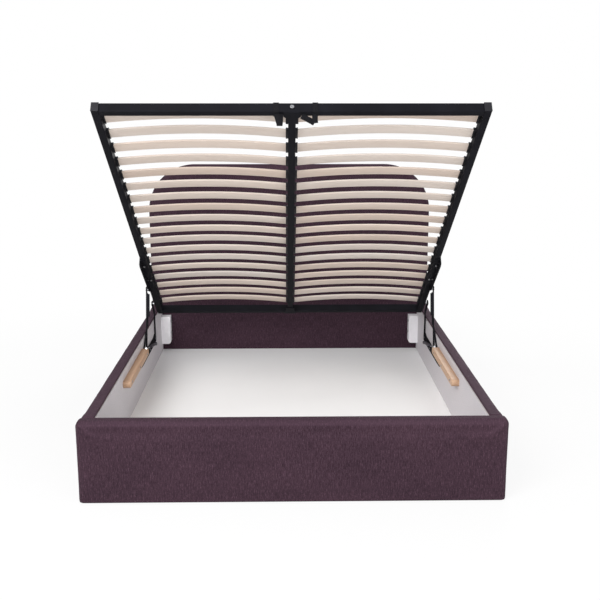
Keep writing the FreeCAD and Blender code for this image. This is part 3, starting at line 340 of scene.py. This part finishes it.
def lining_board():
    """Light grey laminated lining with a faint woven print."""
    shader = Shader("lining")
    place = shader.place()
    speck = shader.noise(place, scale=260.0, detail=3.0, roughness=0.6)
    cloud = shader.noise(place, scale=3.5)
    fine = shader.between(speck, shade(194, 190, 193), shade(208, 204, 208), start=0.35, stop=0.65)
    shader.colour(shader.mixed(shader.span(cloud, low=0.0, high=0.35), fine, shade(190, 186, 189)))
    shader.bump(speck, distance=0.0003, strength=0.35)
    shader.roughness(shader.span(speck, low=0.62, high=0.8))
    return shader.material


# Wood: features per metre across and along the grain, and their shares in it
FIBRE_ACROSS = 220.0
FIBRE_ALONG = 4.0
FLAME_ACROSS = 26.0
FLAME_ALONG = 1.3
PORES_PER_FIBRE = 2.2
FIBRE_SHARE = 0.4
FLAME_SHARE = 0.6
GRAIN_STOPS = (0.32, 0.5, 0.66)
# Slats: tones that differ from one to the next, and the number that sets the right ones apart from the left
ROW_TONES = [
    (0.0, shade(182, 162, 148)),
    (0.25, shade(196, 187, 180)),
    (0.5, shade(203, 200, 197)),
    (0.75, shade(206, 190, 178)),
    (1.0, shade(186, 180, 175)),
]
ROW_SHARE = 0.65
SIDE_STEP = 57.0
CAST_SCALE = (4.0, 60.0, 1.0)
CAST_COLOUR = shade(200, 182, 168)


def grain_scale(across, along, grain_axis):
    """A scale for each axis, with the grain along one of them."""
    return [along if axis == grain_axis else across for axis in (X, Y, Z)]


def row_tint(shader, place, start, pitch):
    """A tone of its own for each piece of a row, with a warm cast that comes and goes."""
    x, y, _ = shader.parts(place)
    row = shader.math("FLOOR", shader.math("DIVIDE", shader.math("SUBTRACT", y, start), pitch))
    number = shader.math("MULTIPLY_ADD", shader.math("SIGN", x), SIDE_STEP, row)
    tone = shader.ramp(shader.cells(number), ROW_TONES)
    cast = shader.noise(shader.stretched(place, CAST_SCALE))
    return shader.mixed(shader.span(cast, low=0.0, high=0.5), tone, CAST_COLOUR)


def wood(name, light, dark, grain_axis, turn=(0.0, 0.0, 0.0), rough=(0.42, 0.6), rows=None):
    """Wood with grain along one axis; each piece of a row may have a tone of its own."""
    shader = Shader(name)
    place = shader.turned(shader.place(), turn)
    fine = grain_scale(FIBRE_ACROSS, FIBRE_ALONG, grain_axis)
    broad = grain_scale(FLAME_ACROSS, FLAME_ALONG, grain_axis)
    fibre = shader.noise(shader.stretched(place, fine), detail=4.0, roughness=0.6)
    flame = shader.noise(shader.stretched(place, broad), detail=3.0, roughness=0.55)
    pore = shader.noise(shader.stretched(place, [size * PORES_PER_FIBRE for size in fine]))
    fibre_part = shader.math("MULTIPLY", fibre, FIBRE_SHARE)
    flame_part = shader.math("MULTIPLY", flame, FLAME_SHARE)
    grain = shader.math("ADD", fibre_part, flame_part)
    middle = [(a + b) / 2 for a, b in zip(light, dark)]
    colour = shader.ramp(grain, list(zip(GRAIN_STOPS, (dark, middle, light))))
    if rows:
        colour = shader.mixed(ROW_SHARE, colour, row_tint(shader, place, *rows))
    shader.colour(colour)
    shader.bump(shader.math("ADD", fibre, pore), distance=0.0003, strength=0.3)
    shader.roughness(shader.span(grain, *rough))
    return shader.material


def powder_coat(name, low, high, rough):
    """Powder-coated steel with orange-peel texture and faint dust."""
    shader = Shader(name)
    place = shader.place()
    peel = shader.noise(place, scale=420.0)
    dust = shader.noise(place, scale=9.0, detail=4.0, roughness=0.6)
    shader.colour(shader.between(dust, low, high, stop=0.75))
    shader.roughness(shader.span(dust, *rough))
    shader.set(Specular_IOR_Level=0.07)
    shader.bump(peel, distance=0.0002, strength=0.25)
    return shader.material


def plated(name, low, high, rough):
    """Bright plated metal with fine scratches."""
    shader = Shader(name)
    wear = shader.noise(shader.place(), scale=240.0, detail=4.0, roughness=0.65)
    shader.colour(shader.between(wear, low, high))
    shader.roughness(shader.span(wear, *rough))
    shader.set(Metallic=1.0)
    shader.bump(wear, distance=0.0001, strength=0.2)
    return shader.material


def moulded(name, low, high, rough=(0.42, 0.6)):
    """Moulded plastic with a spark-eroded grain."""
    shader = Shader(name)
    place = shader.place()
    spark = shader.noise(place, scale=900.0)
    cloud = shader.noise(place, scale=14.0, detail=3.0)
    shader.colour(shader.between(cloud, low, high))
    shader.roughness(shader.span(spark, *rough))
    shader.set(Specular_IOR_Level=0.25)
    shader.bump(spark, distance=0.00015, strength=0.3)
    return shader.material


WARP_PITCH = 0.0018
WEFT_PITCH = 0.0024


def webbing():
    """Black woven webbing."""
    shader = Shader("webbing")
    x, y, z = shader.parts(shader.place())
    warp = shader.wave(shader.math("ADD", x, y), WARP_PITCH)
    weave = shader.math("MULTIPLY", warp, shader.wave(z, WEFT_PITCH))
    shader.colour(shader.between(weave, shade(12, 12, 15), shade(34, 33, 38), start=0.0, stop=1.0))
    shader.bump(weave, distance=0.0006, strength=0.6)
    shader.roughness(0.85)
    shader.set(Specular_IOR_Level=0.15)
    return shader.material


def white_board():
    """White laminated storage floor."""
    shader = Shader("white_board")
    place = shader.place()
    peel = shader.noise(place, scale=120.0, detail=3.0)
    cloud = shader.noise(place, scale=2.0)
    shader.colour(shader.between(cloud, shade(247, 247, 247), shade(251, 251, 251)))
    shader.bump(peel, distance=0.0002, strength=0.2)
    shader.roughness(shader.span(peel, low=0.45, high=0.6))
    return shader.material


def slat_rows():
    """Where the first gap between slats lies along the platform, and the slats' pitch."""
    along = on_platform(points_of(nodes["left_slats"].data))[:, Y]
    edges = np.unique(along.round(EQUAL_PLACES))
    return float(edges[1] + edges[2]) / 2, float(edges[2] - edges[0])


def birch():
    """Pale slats with grain across the bed."""
    light, dark = shade(207, 195, 185), shade(180, 162, 148)
    return wood("birch", light, dark, X, turn=(PLATFORM_TILT, 0, 0), rough=(0.4, 0.6), rows=slat_rows())


MATERIALS = {
    "upholstery_x": chenille("upholstery_x", X),
    "upholstery_y": chenille("upholstery_y", Y),
    "lining": lining_board(),
    "board": wood("board", shade(190, 160, 124), shade(150, 118, 84), Y),
    "beech": wood("beech", shade(204, 171, 142), shade(170, 132, 103), Y),
    "birch": birch(),
    "white_block": moulded("white_block", shade(228, 226, 229), shade(240, 238, 241), (0.5, 0.7)),
    "white_panel": white_board(),
    "black_steel": powder_coat("black_steel", shade(14, 14, 18), shade(22, 22, 27), (0.55, 0.7)),
    "grey_steel": powder_coat("grey_steel", shade(66, 63, 69), shade(80, 77, 83), (0.3, 0.45)),
    "zinc": plated("zinc", shade(128, 129, 133), shade(172, 172, 175), (0.25, 0.45)),
    "rod_chrome": plated("rod_chrome", shade(204, 206, 210), shade(232, 232, 234), (0.08, 0.2)),
    "black_plastic": moulded("black_plastic", shade(20, 20, 24), shade(30, 30, 35)),
    "webbing": webbing(),
}


# Upholstery: each padded cover is remeshed, filled out by a cloth simulation and capped

SIMULATED_FRAMES = 20
PRESSURE = 4.0
CLOTH_QUALITY = 4
CLOTH_MASS = 0.4
STRETCH_STIFFNESS = 15
BENDING_STIFFNESS = 8
# Size of the even grid, and the furthest that the filling moves a point
PANEL_GRID = 0.006
HEAD_GRID = 0.009
FOOT_SWELL = 0.004
HEAD_SWELL = 0.007
RAIL_SWELL = 0.0035
# Where a cover is held to its board: axis, side, and the depths between which the cloth comes free
FOOT_HOLD = [(Y, HIGH_SIDE, 0.028, 0.055), (Z, LOW_SIDE, 0.004, 0.06)]
HEAD_HOLD = [(Y, HIGH_SIDE, 0.045, 0.075), (Z, LOW_SIDE, 0.36, 0.46)]
RAIL_HOLD = [(Y, LOW_SIDE, 0.002, 0.08), (Y, HIGH_SIDE, 0.002, 0.08), (Z, LOW_SIDE, 0.004, 0.06)]
RAIL_INNER_DEPTHS = (0.028, 0.05)
# Fine unevenness of the cloth: depth, ripples per metre and seed
WRINKLES = ((0.0006, 14.0, 1), (0.0004, 33.0, 2))
SEED_SHIFT = Vector((7.3, 3.1, 5.7))
# Keeps a point that hasn't moved from dividing by zero
LEAST_LENGTH = 1e-9


def eased(value, low, high):
    """0 at low, 1 at high, smooth between; works on arrays."""
    part = np.clip((value - low) / (high - low), 0.0, 1.0)
    return part * part * (3 - 2 * part)


def ripple(points, scale, seed):
    """Smooth repeatable noise of about -1 to 1 at each point."""
    shift = SEED_SHIFT * seed
    return np.array([noise.noise(Vector(point) * scale + shift) for point in points])


def remeshed(name, node_name, voxel):
    """A copy of a node's mesh as an even grid of quads."""
    piece = bpy.data.objects.new(name, nodes[node_name].data.copy())
    scene.collection.objects.link(piece)
    remesh = piece.modifiers.new("grid", "REMESH")
    remesh.mode = "VOXEL"
    remesh.voxel_size = voxel
    grid = evaluated_mesh(piece)
    piece.modifiers.clear()
    piece.data = grid
    return piece


def held_weights(points, low, high, rules):
    """1 where the cloth is stapled to its board, 0 where it is free to fill out."""
    free = np.ones(len(points))
    for axis, side, start, stop in rules:
        depth = points[:, axis] - low[axis] if side == LOW_SIDE else high[axis] - points[:, axis]
        free *= eased(depth, start, stop)
    return 1.0 - free


class Padded:
    """One padded cover: its piece, where it is held and how far it may swell."""

    def __init__(self, name, node_name, voxel, swell, rules, finish):
        self.piece = remeshed(name, node_name, voxel)
        self.node_name = node_name
        self.swell = swell
        self.rest = points_of(self.piece.data)
        low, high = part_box(node_name)
        self.held = held_weights(self.rest, low, high, rules)
        self.piece.data.materials.clear()
        self.piece.data.materials.append(finish)

    def hang(self):
        """Make the cover a cloth that is blown up from inside and held at its board."""
        group = self.piece.vertex_groups.new(name="held")
        for index, weight in enumerate(self.held):
            group.add([index], float(weight), "REPLACE")
        cloth = self.piece.modifiers.new("padding", "CLOTH")
        settings = cloth.settings
        settings.quality = CLOTH_QUALITY
        settings.mass = CLOTH_MASS
        settings.use_pressure = True
        settings.uniform_pressure_force = PRESSURE
        settings.vertex_group_mass = group.name
        settings.tension_stiffness = STRETCH_STIFFNESS
        settings.compression_stiffness = STRETCH_STIFFNESS
        settings.bending_stiffness = BENDING_STIFFNESS
        settings.effector_weights.gravity = 0.0
        cloth.collision_settings.use_collision = False
        cloth.point_cache.frame_start = 1
        cloth.point_cache.frame_end = SIMULATED_FRAMES

    def settle(self):
        """Keep the simulated shape, with no point further out than the swell."""
        result = evaluated_mesh(self.piece)
        moved = points_of(result) - self.rest
        self.piece.modifiers.clear()
        self.piece.vertex_groups.clear()
        bpy.data.meshes.remove(result)
        self.shape(moved)

    def shape(self, moved):
        """Move the cover's free points, and add the cloth's fine unevenness."""
        free = (1.0 - self.held)[:, None]
        length = np.linalg.norm(moved, axis=1, keepdims=True)
        capped_length = self.swell * np.tanh(length / self.swell)
        capped = moved * (capped_length / np.maximum(length, LEAST_LENGTH)) * free
        normals = np.empty(len(self.rest) * 3)
        self.piece.data.vertices.foreach_get("normal", normals)
        normals = normals.reshape(-1, 3)
        wrinkle = sum(depth * ripple(self.rest, scale, seed) for depth, scale, seed in WRINKLES)
        capped += normals * wrinkle[:, None] * free
        self.piece.data.vertices.foreach_set("co", (self.rest + capped).ravel())
        self.piece.data.update()
        for polygon in self.piece.data.polygons:
            polygon.use_smooth = True

    def declare(self):
        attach(self.piece, "base")
        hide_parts(self.node_name)


def upholster():
    """The four padded covers, filled out together."""
    ribs_x, ribs_y = MATERIALS["upholstery_x"], MATERIALS["upholstery_y"]
    covers = [
        Padded("foot_upholstery", "foot_cover", PANEL_GRID, FOOT_SWELL, FOOT_HOLD, ribs_x),
        Padded("headboard_upholstery", "headboard_cover", HEAD_GRID, HEAD_SWELL, HEAD_HOLD, ribs_x),
    ]
    for side, inner in (("left", HIGH_SIDE), ("right", LOW_SIDE)):
        name, node_name = f"{side}_rail_upholstery", f"{side}_rail_cover"
        rules = [(X, inner, *RAIL_INNER_DEPTHS)] + RAIL_HOLD
        covers.append(Padded(name, node_name, PANEL_GRID, RAIL_SWELL, rules, ribs_y))
    for cover in covers:
        cover.hang()
    for step in range(1, SIMULATED_FRAMES + 1):
        scene.frame_set(step)
    for cover in covers:
        cover.settle()
    scene.frame_set(1)
    for cover in covers:
        cover.declare()


upholster()


# Pieces built in mesh code

CORNER_STEPS = 3


def skin(shell, rows, closed=False):
    """Quads between rows of points; the ends are capped unless the rows close on themselves."""
    loops = [[shell.verts.new(point) for point in row] for row in rows]
    pairs = list(zip(loops, loops[1:]))
    if closed:
        pairs.append((loops[-1], loops[0]))
    for first, second in pairs:
        for index in range(len(first)):
            after = (index + 1) % len(first)
            shell.faces.new((first[index], first[after], second[after], second[index]))
    if not closed:
        shell.faces.new(loops[0][::-1])
        shell.faces.new(loops[-1])


def rounded(width, height, radius, steps=CORNER_STEPS):
    """Points and outward directions round a rectangle with round corners."""
    points = []
    for corner, (right, up) in enumerate(((1, 1), (-1, 1), (-1, -1), (1, -1))):
        for step in range(steps + 1):
            angle = (corner + step / steps) * math.pi / 2
            out = Vector((math.cos(angle), math.sin(angle)))
            middle = Vector((right * (width / 2 - radius), up * (height / 2 - radius)))
            points.append((middle + out * radius, out))
    return points


def piece_of(shell, name, body, slot, finish, *replaced):
    """A finished piece that rides on a body in place of CAD nodes."""
    bmesh.ops.recalc_face_normals(shell, faces=shell.faces)
    mesh = bpy.data.meshes.new(name)
    shell.to_mesh(mesh)
    shell.free()
    mesh.polygons.foreach_set("use_smooth", [True] * len(mesh.polygons))
    mesh.set_sharp_from_angle(angle=SHARP)
    mesh.materials.append(MATERIALS[finish])
    piece = bpy.data.objects.new(name, mesh)
    scene.collection.objects.link(piece)
    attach(piece, body)
    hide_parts(*replaced)
    return piece


# Slats and their holders, as narrow as in the photograph, inside the CAD slats and holders
SLAT_WIDTH = 0.054
SLAT_EDGE = 0.0028
SLAT_STATIONS = 25
# The furthest that a slat lies from the head edge of its CAD slat, and the noise that sets it
SLAT_DRIFT = 0.004
DRIFT_SCALE = 9
DRIFT_LAYER = 0.5
HOLDER_WALL = 0.003
HOLDER_REACH = 0.0095
HOLDER_PLAY = 0.0004
HOLDER_LIP = 0.004
HOLDER_STEP = 0.0007
HOLDER_ROUND = 0.0025
# Distance of each side's slats, at their middle, from the middle of the bed
slat_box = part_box("right_slats")
SLAT_MIDDLE = (slat_box[0][X] + slat_box[1][X]) / 2


def slat_set(side):
    """One side's bowed slats, each near the head edge of its CAD slat."""
    points = on_platform(points_of(nodes[f"{side}_slats"].data))
    (left, _, under), (right, _, crown) = points.min(axis=0), points.max(axis=0)
    end = points[points[:, X] < left + EDGE_REACH]
    thickness = float(end[:, Z].max() - under)
    bow = float(crown - under) - thickness
    section = rounded(SLAT_WIDTH, thickness, SLAT_EDGE)
    shell = bmesh.new()
    centres = []
    for edge in np.unique(points[:, Y].round(EQUAL_PLACES))[1::2]:
        sample = Vector((left * DRIFT_SCALE, edge * DRIFT_SCALE, DRIFT_LAYER))
        drift = abs(noise.noise(sample)) * SLAT_DRIFT
        centres.append(float(edge) - SLAT_WIDTH / 2 - drift)
    for centre in centres:
        rows = []
        for part in np.linspace(-1.0, 1.0, SLAT_STATIONS):
            x = (left + right) / 2 + part * (right - left) / 2
            level = under + bow * (1 - part * part) + thickness / 2
            rows.append([lifted(x, centre + spot.x, level + spot.y) for spot, _ in section])
        skin(shell, rows)
    piece_of(shell, f"{side}_slat_set", "platform", "birch", "birch", f"{side}_slats")
    return centres


def holder_set(side, centres):
    """The moulded pockets that take the slats' ends, with a lip round each mouth."""
    shell = bmesh.new()
    replaced = [f"{side}_outer_holders", f"{side}_inner_holders"]
    for name in replaced:
        points = on_platform(points_of(nodes[name].data))
        (low, _, under), (high, _, top) = points.min(axis=0), points.max(axis=0)
        back = max((float(low), float(high)), key=lambda x: abs(abs(x) - SLAT_MIDDLE))
        inward = 1 if back == float(low) else -1
        mouth = back + inward * HOLDER_REACH
        lip = mouth - inward * HOLDER_LIP
        middle = float(under + top) / 2
        height = float(top - under)
        width = SLAT_WIDTH + 2 * (HOLDER_PLAY + HOLDER_WALL)
        rim = (width, height)
        body = (width - 2 * HOLDER_STEP, height - 2 * HOLDER_STEP)
        pocket = (SLAT_WIDTH + 2 * HOLDER_PLAY, height - 2 * HOLDER_WALL + HOLDER_PLAY)
        stations = [
            (back, body),
            (lip - inward * HOLDER_STEP, body),
            (lip, rim),
            (mouth - inward * HOLDER_STEP, rim),
            (mouth, body),
            (mouth, pocket),
            (back + inward * HOLDER_WALL, pocket),
        ]
        for centre in centres:
            rows = []
            for x, (wide, tall) in stations:
                section = rounded(wide, tall, HOLDER_ROUND)
                rows.append([lifted(x, centre + spot.x, middle + spot.y) for spot, _ in section])
            skin(shell, rows)
    piece_of(shell, f"{side}_slat_holders", "platform", "black_plastic", "black_plastic", *replaced)


for side_name in ("left", "right"):
    holder_set(side_name, slat_set(side_name))


# Pull strap: two wraps round the foot tube, and the runs that hang between them and the beam's bracket
STRAP_WIDTH = 0.022
STRAP_THICKNESS = 0.0022
STRAP_SLACK = 0.0006
STRAP_EDGE = 0.0009
WRAP_ROUND = 0.0045
WRAP_STEPS = 5
WRAP_PLACES = (-0.062, 0.090)
LAYER = 0.0012
# Each hanging run: its layer, whether its webbing turns with it (1) or stays level (0), then its middle at
# the start, half way and the end, as a place across the bed and a height under the tube
HANGING_RUNS = [
    (1, 0.0, ((-0.0615, 0.000), (-0.0545, -0.022), (-0.0485, -0.0450))),
    (-1, 0.0, ((-0.0455, 0.000), (-0.0460, -0.022), (-0.0485, -0.0450))),
    (1, 1.0, ((0.0895, 0.000), (0.0885, -0.017), (0.0905, -0.0345))),
    (-1, 1.0, ((0.0360, -0.0070), (0.0600, -0.0190), (0.0870, -0.0335))),
]
RUN_STATIONS = 9
# Share of a run over which its direction is measured, to each side
AHEAD_SHARE = 0.01


def bent(first, middle, last, part):
    """A point of the smooth curve through three points."""
    a, b, c = Vector(first), Vector(middle), Vector(last)
    pull = b * 2 - (a + c) / 2
    return a * (1 - part) ** 2 + pull * (2 * part * (1 - part)) + c * part ** 2


def strap():
    """The webbing's wraps and hanging runs as one piece."""
    tube = on_platform(points_of(nodes["foot_tube"].data))
    (_, near, under), (_, far, over) = tube.min(axis=0), tube.max(axis=0)
    section = rounded(STRAP_WIDTH, STRAP_THICKNESS, STRAP_EDGE)
    around = 2 * STRAP_SLACK + STRAP_THICKNESS
    shell = bmesh.new()
    for x in WRAP_PLACES:
        rows = []
        for spot, out in rounded(far - near + around, over - under + around, WRAP_ROUND, WRAP_STEPS):
            middle = spot + Vector(((near + far) / 2, (under + over) / 2))
            rows.append([lifted(x + item.x, *(middle + out * item.y)) for item, _ in section])
        skin(shell, rows, True)
    hang = lifted(0.0, (near + far) / 2, under - STRAP_SLACK - STRAP_THICKNESS / 2)
    for layer, turn, run in HANGING_RUNS:
        rows = []
        for part in np.linspace(0.0, 1.0, RUN_STATIONS):
            middle = bent(*run, part)
            ahead = (bent(*run, part + AHEAD_SHARE) - bent(*run, part - AHEAD_SHARE)).normalized()
            wide = Vector((1.0, 0.0)).lerp(Vector((-ahead.y, ahead.x)), turn)
            row = []
            for item, _ in section:
                across = middle.x + wide.x * item.x
                height = middle.y + wide.y * item.x
                row.append(hang + Vector((across, layer * -LAYER + item.y, height)))
            rows.append(row)
        skin(shell, rows)
    piece_of(shell, "strap_webbing", "platform", "webbing", "webbing", "pull_strap")


strap()


# Cloth on the back of the headboard, with a turned hem along its edge
BACK_EDGE = 0.0025
HEM_START = 0.010
HEM_END = 0.015
HEM_MIDDLE = 0.0125
HEM_DEPTH = 0.0012
BACK_RIPPLE = 0.0004
BACK_RIPPLE_SCALE = 6
BACK_STEP = 0.03
# Distances from the edge at which the grid has lines, close where the edge and the hem turn
BACK_DEPTHS = (0.0, 0.0004, 0.0012, BACK_EDGE, 0.006, HEM_START, HEM_MIDDLE, HEM_END, BACK_STEP)


def back_cloth():
    """A closed sheet with round top corners, flat towards the board and hemmed behind."""
    (left, front, low), (right, rear, high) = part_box("headboard_back")
    points = points_of(nodes["headboard_back"].data)
    flat_top = float(points[points[:, Z] > high - EDGE_REACH][:, X].max())
    corner = right - flat_top
    spring = high - corner

    def half_width(z):
        rise = max(0.0, z - spring)
        return flat_top + math.sqrt(max(0.0, corner ** 2 - rise ** 2))

    def depth(x, z):
        if abs(x) > flat_top and z > spring:
            return corner - math.hypot(abs(x) - flat_top, z - spring)
        return min(right - abs(x), z - low, high - z)

    def surface(x, z):
        inside = max(0.0, depth(x, z))
        if inside < BACK_EDGE:
            rise = 1 - inside / BACK_EDGE
            return rear - BACK_EDGE * (1 - math.sqrt(max(0.0, 1 - rise * rise)))
        sunk = float(eased(inside, HEM_START, HEM_END))
        spot = Vector((x * BACK_RIPPLE_SCALE, 0.0, z * BACK_RIPPLE_SCALE))
        return rear - sunk * (HEM_DEPTH + noise.noise(spot) * BACK_RIPPLE)

    def stops(first, last):
        inner = np.arange(first + 2 * BACK_STEP, last - 2 * BACK_STEP, BACK_STEP)
        return [first + d for d in BACK_DEPTHS] + list(inner) + [last - d for d in reversed(BACK_DEPTHS)]

    shell = bmesh.new()
    grid = []
    across = stops(left, right)
    for z in stops(low, high):
        reach = half_width(z) / right
        grid.append([shell.verts.new((x * reach, surface(x * reach, z), z)) for x in across])
    for lower, upper in zip(grid, grid[1:]):
        for index in range(len(across) - 1):
            shell.faces.new((lower[index], lower[index + 1], upper[index + 1], upper[index]))
    right_side = [row[-1] for row in grid[1:-1]]
    left_side = [row[0] for row in grid[-2:0:-1]]
    border = grid[0] + right_side + grid[-1][::-1] + left_side
    flat = [shell.verts.new((vertex.co.x, front, vertex.co.z)) for vertex in border]
    for index in range(len(border)):
        after = (index + 1) % len(border)
        shell.faces.new((border[index], flat[index], flat[after], border[after]))
    shell.faces.new(flat)
    piece = piece_of(shell, "headboard_back_cloth", "base", "upholstery", "upholstery_x", "headboard_back")


back_cloth()


# CAD nodes keep their shape and get their finish and edge rounding here

slot_of = {row["node"]: row["material_slot"] for row in frame["record"]["subparts"]}
EDGE_ROUND = {
    "black_steel": 0.0008,
    "zinc": 0.0006,
    "birch": 0.0008,
    "beech": 0.0010,
    "white_block": 0.0030,
    "black_plastic": 0.0006,
    "grey_steel": 0.0005,
    "lining": 0.0005,
    "webbing": 0.0005,
}
ROUND_SEGMENTS = 2
WELD_REACH = 1e-5


def finish_node(node, slot):
    """Give a CAD node its material, and soft edges where its slot has them."""
    finish = "upholstery_x" if slot == "upholstery" else slot
    node.data.materials.clear()
    node.data.materials.append(MATERIALS[finish])
    weld = node.modifiers.new("weld", "WELD")
    weld.merge_threshold = WELD_REACH
    if slot in EDGE_ROUND:
        bevel = node.modifiers.new("edges", "BEVEL")
        bevel.width = EDGE_ROUND[slot]
        bevel.segments = ROUND_SEGMENTS
        bevel.limit_method = "ANGLE"
        bevel.angle_limit = SHARP


for node_name, node_object in nodes.items():
    finish_node(node_object, slot_of[node_name])


# Stage, light and camera

def seen_white(tree, lit, white):
    """Mix a lit shader with plain white for rays that show the background."""
    path = tree.nodes.new("ShaderNodeLightPath")
    shown = path.outputs["Is Camera Ray"]
    for kind in ("Is Glossy Ray", "Is Transmission Ray"):
        either = tree.nodes.new("ShaderNodeMath")
        either.operation = "MAXIMUM"
        tree.links.new(shown, either.inputs[0])
        tree.links.new(path.outputs[kind], either.inputs[1])
        shown = either.outputs[0]
    chosen = tree.nodes.new("ShaderNodeMixShader")
    tree.links.new(shown, chosen.inputs["Fac"])
    tree.links.new(lit, chosen.inputs[1])
    tree.links.new(white, chosen.inputs[2])
    return chosen.outputs[0]


def make_stage():
    """A white floor on which the bed's shadow stays faintly visible."""
    mesh = bpy.data.meshes.new("floor")
    outline = bmesh.new()
    corners = [
        (-FLOOR_REACH, -FLOOR_REACH, 0),
        (FLOOR_REACH, -FLOOR_REACH, 0),
        (FLOOR_REACH, FLOOR_REACH, 0),
        (-FLOOR_REACH, FLOOR_REACH, 0),
    ]
    outline.faces.new([outline.verts.new(corner) for corner in corners])
    outline.to_mesh(mesh)
    outline.free()
    floor = bpy.data.objects.new("floor", mesh)
    scene.collection.objects.link(floor)
    shader = Shader("floor")
    tree = shader.tree
    shader.set(Base_Color=FLOOR_COLOUR, Roughness=0.9, Specular_IOR_Level=0.0)
    white = shader.node("ShaderNodeEmission")
    away = shader.node("ShaderNodeVectorMath", operation="LENGTH")
    shader.link(shader.place(), away.inputs[0])
    fade = shader.smoothstep(away.outputs["Value"], SHADOW_NEAR, SHADOW_FAR, low=SHADOW_SHARE, high=0.0)
    blend = shader.node("ShaderNodeMixShader")
    shader.link(fade, blend.inputs["Fac"])
    shader.link(white.outputs[0], blend.inputs[1])
    shader.link(shader.surface.outputs[0], blend.inputs[2])
    shown = seen_white(tree, shader.surface.outputs[0], blend.outputs[0])
    shader.link(shown, tree.nodes["Material Output"].inputs["Surface"])
    mesh.materials.append(shader.material)


def make_world():
    """Soft even light from all round, behind a white background."""
    world = bpy.data.worlds.new("studio")
    scene.world = world
    world.use_nodes = True
    tree = world.node_tree
    sky = tree.nodes["Background"]
    sky.inputs["Color"].default_value = WHITE
    sky.inputs["Strength"].default_value = SKY_LIGHT
    white = tree.nodes.new("ShaderNodeBackground")
    white.inputs["Color"].default_value = WHITE
    white.inputs["Strength"].default_value = 1.0
    shown = seen_white(tree, sky.outputs[0], white.outputs[0])
    tree.links.new(shown, tree.nodes["World Output"].inputs["Surface"])


def make_light(name, place, power):
    """A large soft disc of light aimed at the bed."""
    data = bpy.data.lights.new(name, "AREA")
    data.shape = "DISK"
    data.size = LIGHT_SIZE
    data.energy = power
    lamp = bpy.data.objects.new(name, data)
    lamp.location = place
    aim = Vector(LIGHT_TARGET) - Vector(place)
    lamp.rotation_euler = aim.to_track_quat("-Z", "Y").to_euler()
    scene.collection.objects.link(lamp)


def make_camera():
    """The photograph's camera, turned from straight along the bed by its yaw and pitch."""
    data = bpy.data.cameras.new("camera")
    data.lens = CAMERA_LENS
    data.sensor_width = SENSOR
    camera = bpy.data.objects.new("camera", data)
    camera.location = CAMERA_PLACE
    camera.rotation_euler = (math.radians(90 - CAMERA_PITCH), 0, math.radians(-CAMERA_YAW))
    scene.collection.objects.link(camera)
    scene.camera = camera


make_stage()
make_world()
make_light("key", KEY_PLACE, KEY_POWER)
make_light("fill", FILL_PLACE, FILL_POWER)
make_light("back", BACK_PLACE, BACK_POWER)
make_camera()
scene.view_settings.view_transform = "Standard"
